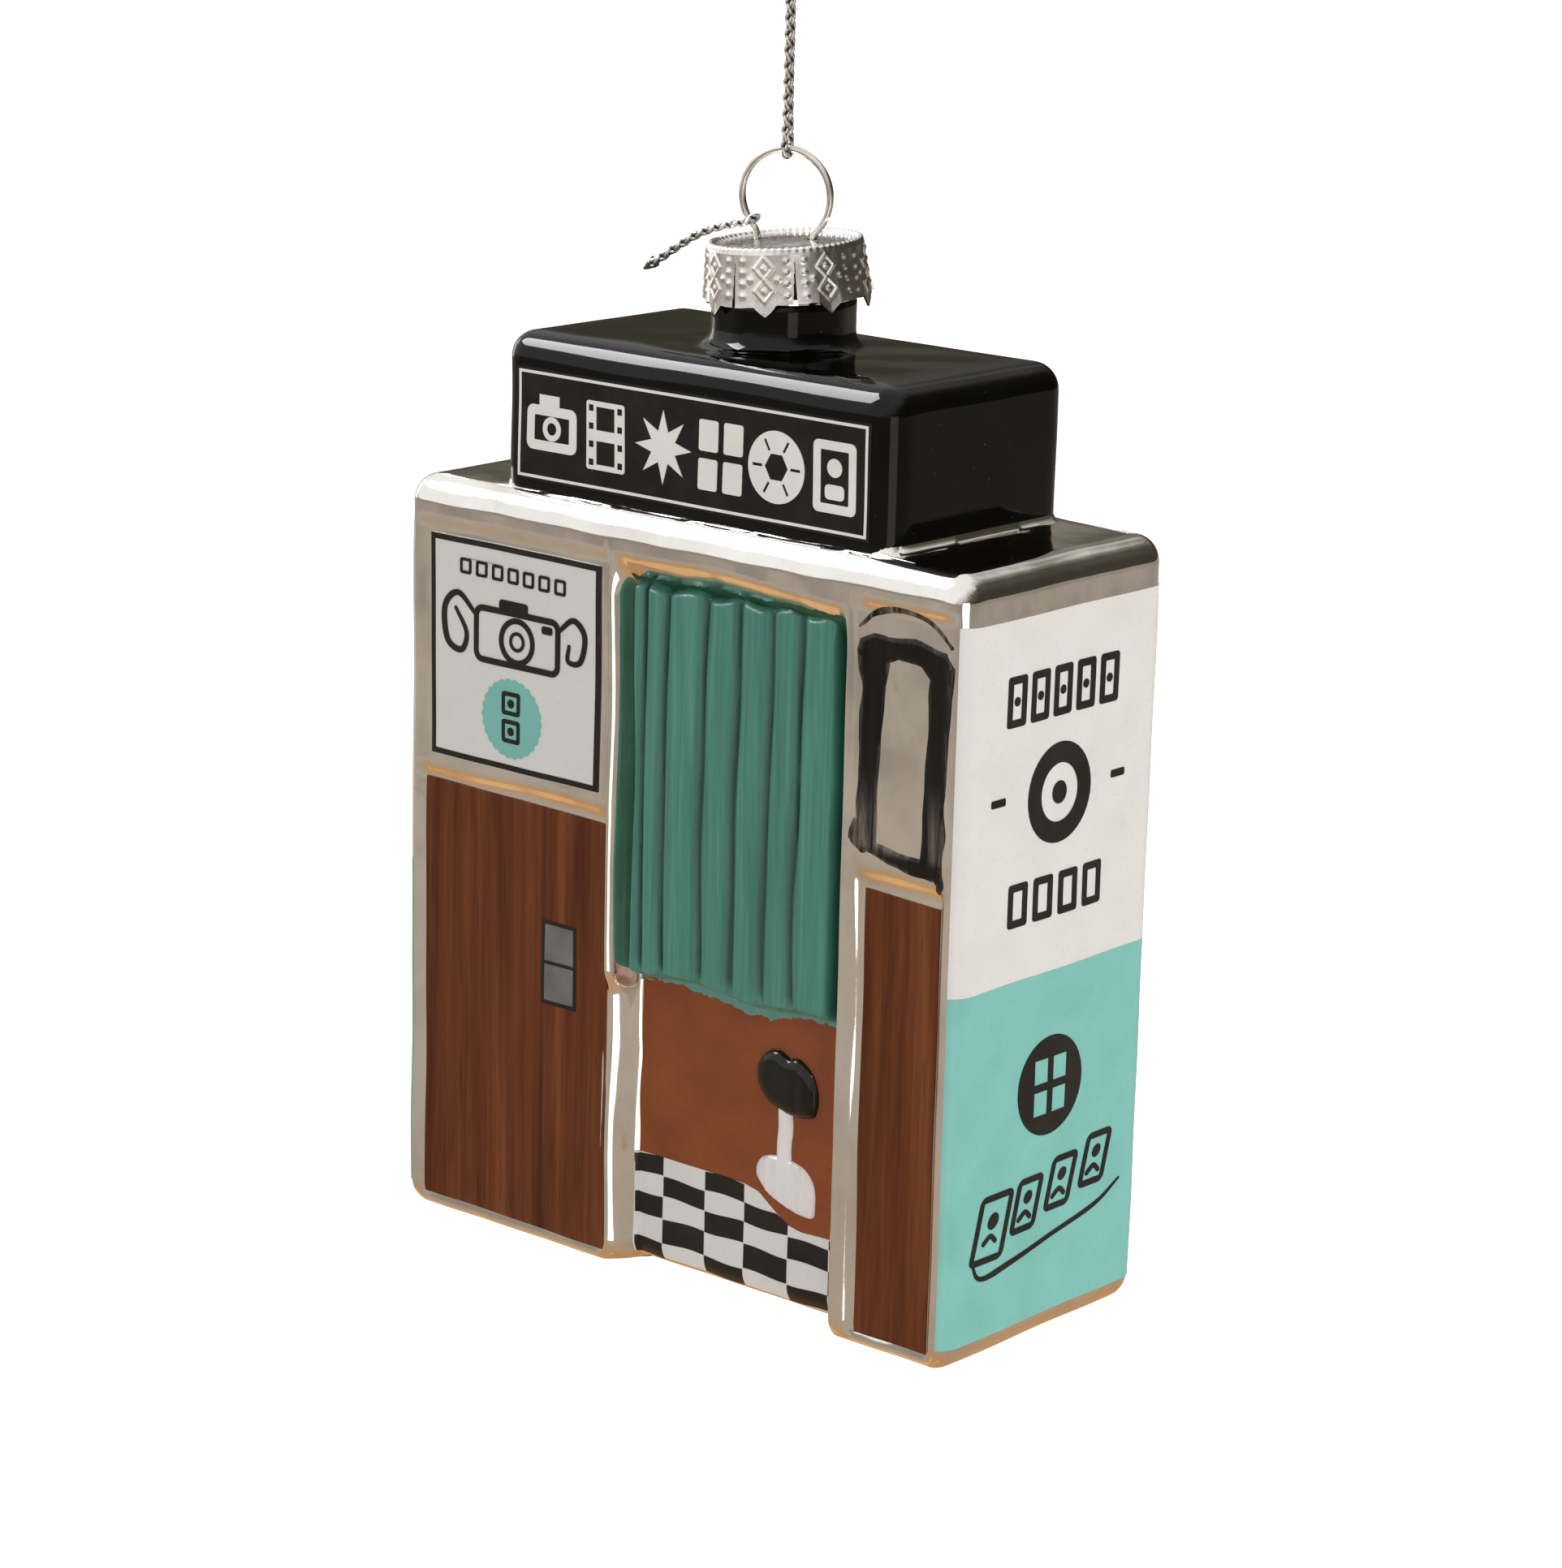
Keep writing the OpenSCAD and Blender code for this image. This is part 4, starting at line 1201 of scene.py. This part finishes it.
add_layer("poster_star", [scallops(-23.5, 61.2, 4.5)], on_front, 0.15, "teal_print", TEAL,
          ["poster_badge"], step=0.5)
add_layer("poster_marks", poster_marks(), on_front, 0.2, "ink_print", INK, ["poster_drawing"],
          step=0.45)

# Wood prints and the photo slot

add_layer("left_wood", [[wavy([(-37.4, 1.9), (-9.4, 1.7), (-9.3, 51.6), (-37.4, 52.1)], 0.08, 11)]],
          on_front, 0.1, "wood_print", WOOD, ["left_wood_panel"], step=0.7)
add_layer("right_wood", [[wavy([(27.5, 1.8), (37.4, 1.8), (37.4, 51.3), (27.4, 51.7)], 0.08, 9)]],
          on_front, 0.1, "wood_print", WOOD, ["right_wood_panel"], step=0.6)
add_layer("slot_frame",
          [[box(-19.1, -13.9, 28.9, 38.7), box(-18.7, -14.35, 29.35, 33.6),
            box(-18.7, -14.35, 34.0, 38.25)]],
          on_front, 0.16, "ink_print", INK, ["photo_slot"], step=0.5)
add_layer("slot_windows", [[box(-18.75, -14.3, 29.3, 33.65)], [box(-18.75, -14.3, 33.95, 38.3)]],
          on_front, 0.13, "off_white_print", GREY, step=0.5)

# Curtain


def curtain_skin():
    """Enamel over the moulded folds, into the valley at the right and over the hem."""
    u = spread((0, 0.05, 0.0022), (0.05, 0.9, 0.0068), (0.9, 1.0, 0.0022))
    v = spread((0, 0.08, 0.004), (0.08, 0.93, 0.011), (0.93, 1.0, 0.0032))
    uu, vv = np.meshgrid(u, v)
    ragged = np.array([0.4 * noise.noise((x * 22, 1.7, 0)) + 0.25 * noise.noise((x * 60, 4, 0))
                       for x in u])
    low = 33.3 + 0.5 * np.sin(u * 9) + 1.2 * ragged
    high = 80.05 + 0.9 * ragged + 0.4 * u
    wander = np.array([0.3 * noise.noise((2.2, z * 14, 0)) for z in v])
    x = (-7.0 + wander)[:, None] * (1 - uu) + (24.15 - wander)[:, None] * uu
    z = low[None] * (1 - vv) + high[None] * vv
    spots, normals = on_front(x.ravel(), z.ravel())
    edge = np.minimum.reduce([uu, 1 - uu, vv * 1.3, (1 - vv) * 1.3]).ravel()
    lift = 0.02 + 0.13 * rise(edge / 0.012)
    faces = quads(*uu.shape, closed=False)
    verts, shell = thick(spots + lift[:, None] * normals, faces, spots - UNDER_COAT * normals)
    x, z = x.ravel(), z.ravel()
    # Painted shade masks: darker in the fold valleys, on the right flank by the jamb and under the
    # top edge
    valley_shade = fold_valley(x, z) * rise((z - 35.5) / 2)
    flank_shade = rise((x - 21.5) / 0.8) + rise((z - 79.3 - 0.2 * np.sin(x)) / 0.4)
    hem = rise((36.2 - z) / 2.2) * 0.75
    return verts, shell, [np.clip(np.tile(a, 2), 0, 1) for a in (valley_shade, flank_shade, hem)]


verts, faces, tones = curtain_skin()
curtain = build("curtain_coat", verts, faces, "glass", "curtain_green", GREEN, ["curtain_enamel"])
for name, tone in zip(("valley_shade", "flank_shade", "hem"), tones):
    paint(curtain, name, tone)

# Alcove, floor and stool


def floor_edge():
    return [(-7.2, 13.3), (2.9, 13.3), (8.7, 13.2), (10.8, 12.8), (13.0, 11.3), (15.0, 10.0),
            (17.0, 9.6), (19.5, 9.7), (23.1, 9.8)]


add_layer("alcove_coat",
          [[wavy([(-6.9, 13.2), *floor_edge()[1:], (23.3, 12), (23.35, 34.6), (-6.8, 34.4)],
                 0.12, 6, 2)]],
          on_front, 0.1, "terracotta", CLAY, ["alcove_enamel"], step=0.45)
add_layer("floor_paper", [[[(-7.3, 1.35), (23.0, 1.1), *floor_edge()[::-1]]]], on_front, 0.13,
          "off_white_print", OFF_WHITE, ["floor_sheet"], step=0.45)


def dark_squares():
    across = [-7.25, -3.3, 2.9, 8.7, 15.2, 21, 22.9]
    up = [1.2, 3.2, 6.1, 8.65, 11.0, 13.25]
    line = np.array(floor_edge())
    shapes = []
    for i in range(len(across) - 1):
        for k in range(len(up) - 1):
            if (i + k) % 2 == 0:
                x0, x1 = across[i], across[i + 1]
                xs = np.linspace(x0 + 0.04, x1 - 0.04, 9)
                top = np.minimum(up[k + 1] - 0.04, np.interp(xs, line[:, 0], line[:, 1]) - 0.03)
                if (top < up[k] + 0.3).any():
                    continue
                bow = 0.12 * np.sin(xs * 0.7 + k)
                shapes.append([[(x, up[k] + 0.04 + b) for x, b in zip(xs, bow)]
                               + [(x, t + b) for x, t, b in zip(xs[::-1], top[::-1], bow[::-1])]])
    return shapes


add_layer("floor_squares", dark_squares(), on_front, 0.17, "ink_print", INK, ["floor_tiles"],
          step=0.5)

SEAT_LOOP = [(10.3, 27.2), (11.3, 29.0), (13.1, 29.8), (14.8, 29.2), (16.2, 29.3), (18.0, 28.0),
             (18.9, 25.8), (18.6, 23.4), (17.4, 22.8), (15.4, 22.6), (13.9, 22.9), (12.0, 23.6),
             (10.6, 25.2)]
BASE_LOOP = [(10.4, 15.4), (11.0, 16.8), (12.6, 17.5), (15.0, 17.5), (17.4, 16.8), (18.7, 15.2),
             (18.9, 13.0), (18.6, 11.6), (16.8, 11.5), (14.6, 12.0), (12.4, 12.9), (10.9, 14.2)]


def rounded(loop):
    """A closed smooth outline through the points."""
    line, _ = smooth_line([(x, z, 0) for x, z in [*loop[-3:], *loop, *loop[:3]]], 0.05)
    near = np.linalg.norm(line[:, :2] - loop[0], axis=1)
    half = len(line) // 2
    return line[int(np.argmin(near[:half])) : half + int(np.argmin(near[half:])) : 5, :2]


add_layer("stool_foot", [[rounded(BASE_LOOP)]], on_front, 0.75, "white_enamel", PEARL,
          ["stool_base"], step=0.3, round_by=1.6)
add_layer("stool_post", [stroke([(14.3, 17.0), (14.2, 19.0), (14.4, 21.0), (14.3, 23.0)], 2.1)],
          on_front, 0.6, "white_enamel", PEARL, ["stool_stem"], step=0.3, round_by=1.0)
add_layer("stool_top", [[rounded(SEAT_LOOP)]], on_front, 0.95, "brushed_black", SEAT,
          ["stool_seat"], step=0.3, round_by=1.7)

# Mirror frame


def mirror_strokes():
    outer = [(26.6, 56.2), (30.6, 54.9), (36.6, 54.2), (37.9, 54.9), (38.0, 60), (38.2, 70),
             (38.7, 77.2), (37.6, 78.9), (33.4, 79.5), (28.0, 79.2), (26.2, 78.6), (25.9, 77.4),
             (26.5, 74), (26.4, 66), (26.3, 59.5)]
    inner = [(29.0, 57.0), (32.2, 56.5), (34.9, 56.4), (35.2, 62), (35.4, 70), (35.5, 75.6),
             (34.2, 76.7), (31.2, 77.1), (30.0, 76.6), (29.6, 74), (29.3, 66)]
    spur = stroke([(26.5, 59.0), (26.3, 57.4), (27.2, 56.2)], (0.9, 1.5, 1.3))
    toe = stroke([(36.9, 55.4), (37.6, 54.1), (37.4, 53.3)], (1.6, 1.3, 0.8))
    arch = stroke([(26.2, 79.9), (28.0, 81.5), (31.4, 82.3), (35.2, 81.6), (38.3, 79.4)],
                  (0.3, 0.8, 0.6, 0.5, 0.4))
    return [[wavy(outer, 0.35, 3.2, 1, 0.4), wavy(inner, 0.3, 4.0, 5, 0.4)], spur, toe, arch]


mirror, spots, away = add_layer("mirror_edge", mirror_strokes(), on_front, 0.16, "brushed_black",
                                BRUSHED, ["mirror_frame"], step=0.35, round_by=0.5)
wear_and_shade = rise((66 - spots[:, 1]) / 9) * 0.8 + rise((spots[:, 1] - 79.4) / 0.6) * 0.9
wear_and_shade = wear_and_shade * rise((spots[:, 1] - 55.6) / 1.2)
paint(mirror, "wear_and_shade", np.clip(wear_and_shade + 0.4 * (away < 0.25), 0, 1))

# Side panels


def side_sheet(side, z0, z1, film):
    """A print round one side wall, from the front corner to the back one."""
    steps = [(-FLAT_D, a) for a in np.radians(np.linspace(-56, 0, 12))]
    steps += [(y, 0.0) for y in np.linspace(-FLAT_D, FLAT_D, 44)[1:-1]]
    steps += [(FLAT_D, a) for a in np.radians(np.linspace(0, 56, 12))]
    cy, a = (np.array(k) for k in zip(*steps))
    cx = np.full_like(cy, FLAT_W)
    grid = []
    for t in np.linspace(0, 1, max(int((z1 - z0) / 0.7), 2)):
        h = np.full_like(cy, z0 + t * (z1 - z0))
        c = EDGE - inset(h)
        nx, ny = side * np.cos(a), np.sin(a)
        grid.append(pressed(side * cx + nx * c, cy + ny * c, nx, ny, h))
    grid = np.array(grid)
    normals = np.cross(np.gradient(grid, axis=1), np.gradient(grid, axis=0)) * side
    normals /= np.linalg.norm(normals, axis=2)[..., None]
    if (normals[..., 0] * side).mean() < 0:
        normals = -normals
    faces = quads(*grid.shape[:2], closed=False)
    if side < 0:
        faces = turned(faces)
    spots, normals = grid.reshape(-1, 3), normals.reshape(-1, 3)
    return thick(spots + film * normals, faces, spots - UNDER_COAT * normals)


for side, word in ((1, "right"), (-1, "left")):
    build(f"{word}_upper_sheet", *side_sheet(side, 42.1, 81.6, 0.1), "glass", "off_white_print",
          OFF_WHITE, [f"{word}_upper_panel"])
    build(f"{word}_lower_sheet", *side_sheet(side, 2.9, 42.1, 0.11), "glass", "teal_print", TEAL,
          [f"{word}_lower_panel"])


def upper_marks():
    """Five film frames, a lens between two bars, and four frames."""
    shapes = []
    for i in range(5):
        y = -8.9 + 4.05 * i
        shapes += [frame_of(y - 1.6, y + 1.6, 70.1, 75.6, 0.85, 0.4), [disc(y, 72.85, 0.5)]]
    shapes += [hoop(-0.8, 61.7, 5.5, 3.2), [disc(-0.8, 61.7, 1.25)]]
    shapes += [[soft_box(-12.6, -10.2, 61.9, 62.75, 0.2)], [soft_box(8.3, 10.7, 61.6, 62.45, 0.2)]]
    for i in range(4):
        y = -7.3 + 4.3 * i
        shapes.append(frame_of(y - 1.65, y + 1.65, 48.1, 52.9, 0.85, 0.4))
    return shapes


def lower_marks():
    """A disc with four windows, and four slanting frames on a loose line."""
    shapes = [[disc(-0.4, 29.1, 5.6, 64), *[box(-0.4 + y - 1.15, -0.4 + y + 1.15, 29.1 + z - 1.35,
                                               29.1 + z + 1.35)
                                           for y in (-1.6, 1.6) for z in (-1.8, 1.8)]]]
    for i in range(4):
        y, z = -9.8 + 6.1 * i, 15.2 + 1.15 * i
        size = 1.0 if i else 1.25
        lean = 0.28

        def slant(loop):
            return [(a + lean * (b - z), b) for a, b in loop]

        outer, inner = frame_of(y - 2.3 * size, y + 2.3 * size, z - 3.0 * size, z + 3.0 * size,
                                0.75, 0.9)
        shapes += [[slant(outer), slant(inner)], [slant(disc(y, z + 0.75, 0.72 * size))],
                   stroke(slant([(y - 1.0, z - 1.5), (y, z - 0.85), (y + 1.0, z - 1.5)]), 0.6)]
    shapes.append(stroke([(-13.2, 12.4), (-11.6, 9.9), (-6.5, 10.4), (0.5, 11.6), (8.5, 13.2),
                          (13.0, 15.2)], (0.3, 0.75, 0.6, 0.55, 0.6, 0.3)))
    return shapes


add_layer("right_upper_marks", upper_marks(), on_right, 0.17, "ink_print", INK,
          ["right_upper_print"], step=0.5)
add_layer("right_lower_marks", lower_marks(), on_right, 0.18, "ink_print", INK,
          ["right_lower_print"], step=0.5)

# ------------------------------------------------------------------ floor, world and light

FLOOR_Z = -0.6


def floor_material():
    """Pale to look at; in reflections a warm table that turns grey further off."""
    p = Paint("floor", Roughness=0.9, Specular_IOR_Level=0.1)
    seen = p.node("LightPath").outputs
    p.colour(p.ramp(p.noise(3), (0.3, (0.8, 0.8, 0.8)), (0.7, (0.84, 0.84, 0.83))))
    glow = p.linked("Emission", (1, 1, 1), seen["Is Camera Ray"])
    drift = p.levels(p.noise(3.5, 3, 0.6, 0.6), 0.3, 0.7, -0.3, 0.3)
    far = p.sums(p.levels(p.vector("DISTANCE", (-0.25, 0.15, 0)), 0.0, 3.0),
                 p.sums(drift, 0.35, "MULTIPLY"))
    warm = p.ramp(far, (0.0, (1.0, 0.68, 0.38)), (0.22, (0.55, 0.29, 0.11)),
                  (0.4, (0.42, 0.35, 0.28)), (0.65, (0.45, 0.39, 0.33)), (1.0, (0.3, 0.27, 0.23)))
    sunny = p.ramp(p.levels(p.vector("DISTANCE", (-0.1, 0.68, 0)), 0.15, 0.5),
                   (0.0, (0.6, 0.55, 0.45)), (1.0, (0, 0, 0)))
    table = p.linked("AddShader", p.linked("Emission", warm), p.linked("Emission", sunny))
    pale = p.linked("AddShader", p.shader.outputs[0], glow)
    p.link(p.linked("MixShader", seen["Is Glossy Ray"], pale, table),
           p.tree.nodes["Material Output"].inputs["Surface"])
    return p.material


floor_mesh = bpy.data.meshes.new("floor")
floor_mesh.from_pydata([(-9, -9, FLOOR_Z), (9, -9, FLOOR_Z), (9, 9, FLOOR_Z), (-9, 9, FLOOR_Z)], [],
                       [(0, 1, 2, 3)])
floor_mesh.materials.append(floor_material())
floor = bpy.data.objects.new("floor", floor_mesh)
bpy.context.scene.collection.objects.link(floor)


def studio_world():
    """White to the eye; in reflections a bright window side and a dim warm side."""
    world = bpy.data.worlds.new("studio")
    bpy.context.scene.world = world
    world.use_nodes = True
    t = Nodes(world.node_tree, "Generated")
    seen = t.node("LightPath").outputs
    window = t.sums(t.sums(t.noise(3.2, 4, 0.5, 0.5), 0.7, "MULTIPLY"),
                    t.vector("DOT_PRODUCT", (-0.3, -0.45, 0.84)))
    side = t.ramp(window, (0.0, (0.05, 0.045, 0.035)), (0.3, (0.09, 0.08, 0.06)),
                  (0.44, (0.2, 0.18, 0.15)), (0.62, (0.62, 0.61, 0.6)), (0.85, (1.0, 1.0, 1.0)))
    white = t.linked("Background", (1, 1, 1), t.levels(seen["Is Camera Ray"], 0, 1, 0.65))
    t.link(t.linked("MixShader", seen["Is Glossy Ray"], white, t.linked("Background", side)),
           t.tree.nodes["World Output"].inputs["Surface"])


studio_world()
MIDDLE = Vector((0, 0, -0.095))


def card(name, direction, distance, width, height, power, tint=(1, 1, 1), gloss=True, fill=True):
    """A soft light facing the object, in its reflections, its shading or both."""
    light = bpy.data.lights.new(name, "AREA")
    light.shape, light.size, light.size_y = "RECTANGLE", width, height
    light.energy, light.color = power, tint
    obj = bpy.data.objects.new(name, light)
    bpy.context.scene.collection.objects.link(obj)
    towards = Vector(direction).normalized()
    obj.location = MIDDLE + towards * distance
    obj.rotation_euler = towards.to_track_quat("Z", "Y").to_euler()
    obj.visible_camera = False
    obj.visible_glossy, obj.visible_diffuse = gloss, fill


card("key", (-0.6, -0.3, 0.74), 0.9, 0.5, 0.42, 11.0, fill=False)
card("low_right", (0.83, -0.5, -0.22), 0.8, 0.42, 0.46, 0.75, (1, 0.97, 0.93))
card("side", (0.95, 0.25, 0.2), 0.9, 0.5, 0.5, 2.7, gloss=False)
card("front", (-0.1, -0.95, 0.2), 1.1, 0.5, 0.5, 0.9, gloss=False)
card("left_low", (-0.75, 0.1, 0.12), 1.0, 0.3, 0.5, 1.2, (1, 0.95, 0.88))

bpy.context.scene.view_settings.view_transform = "Standard"
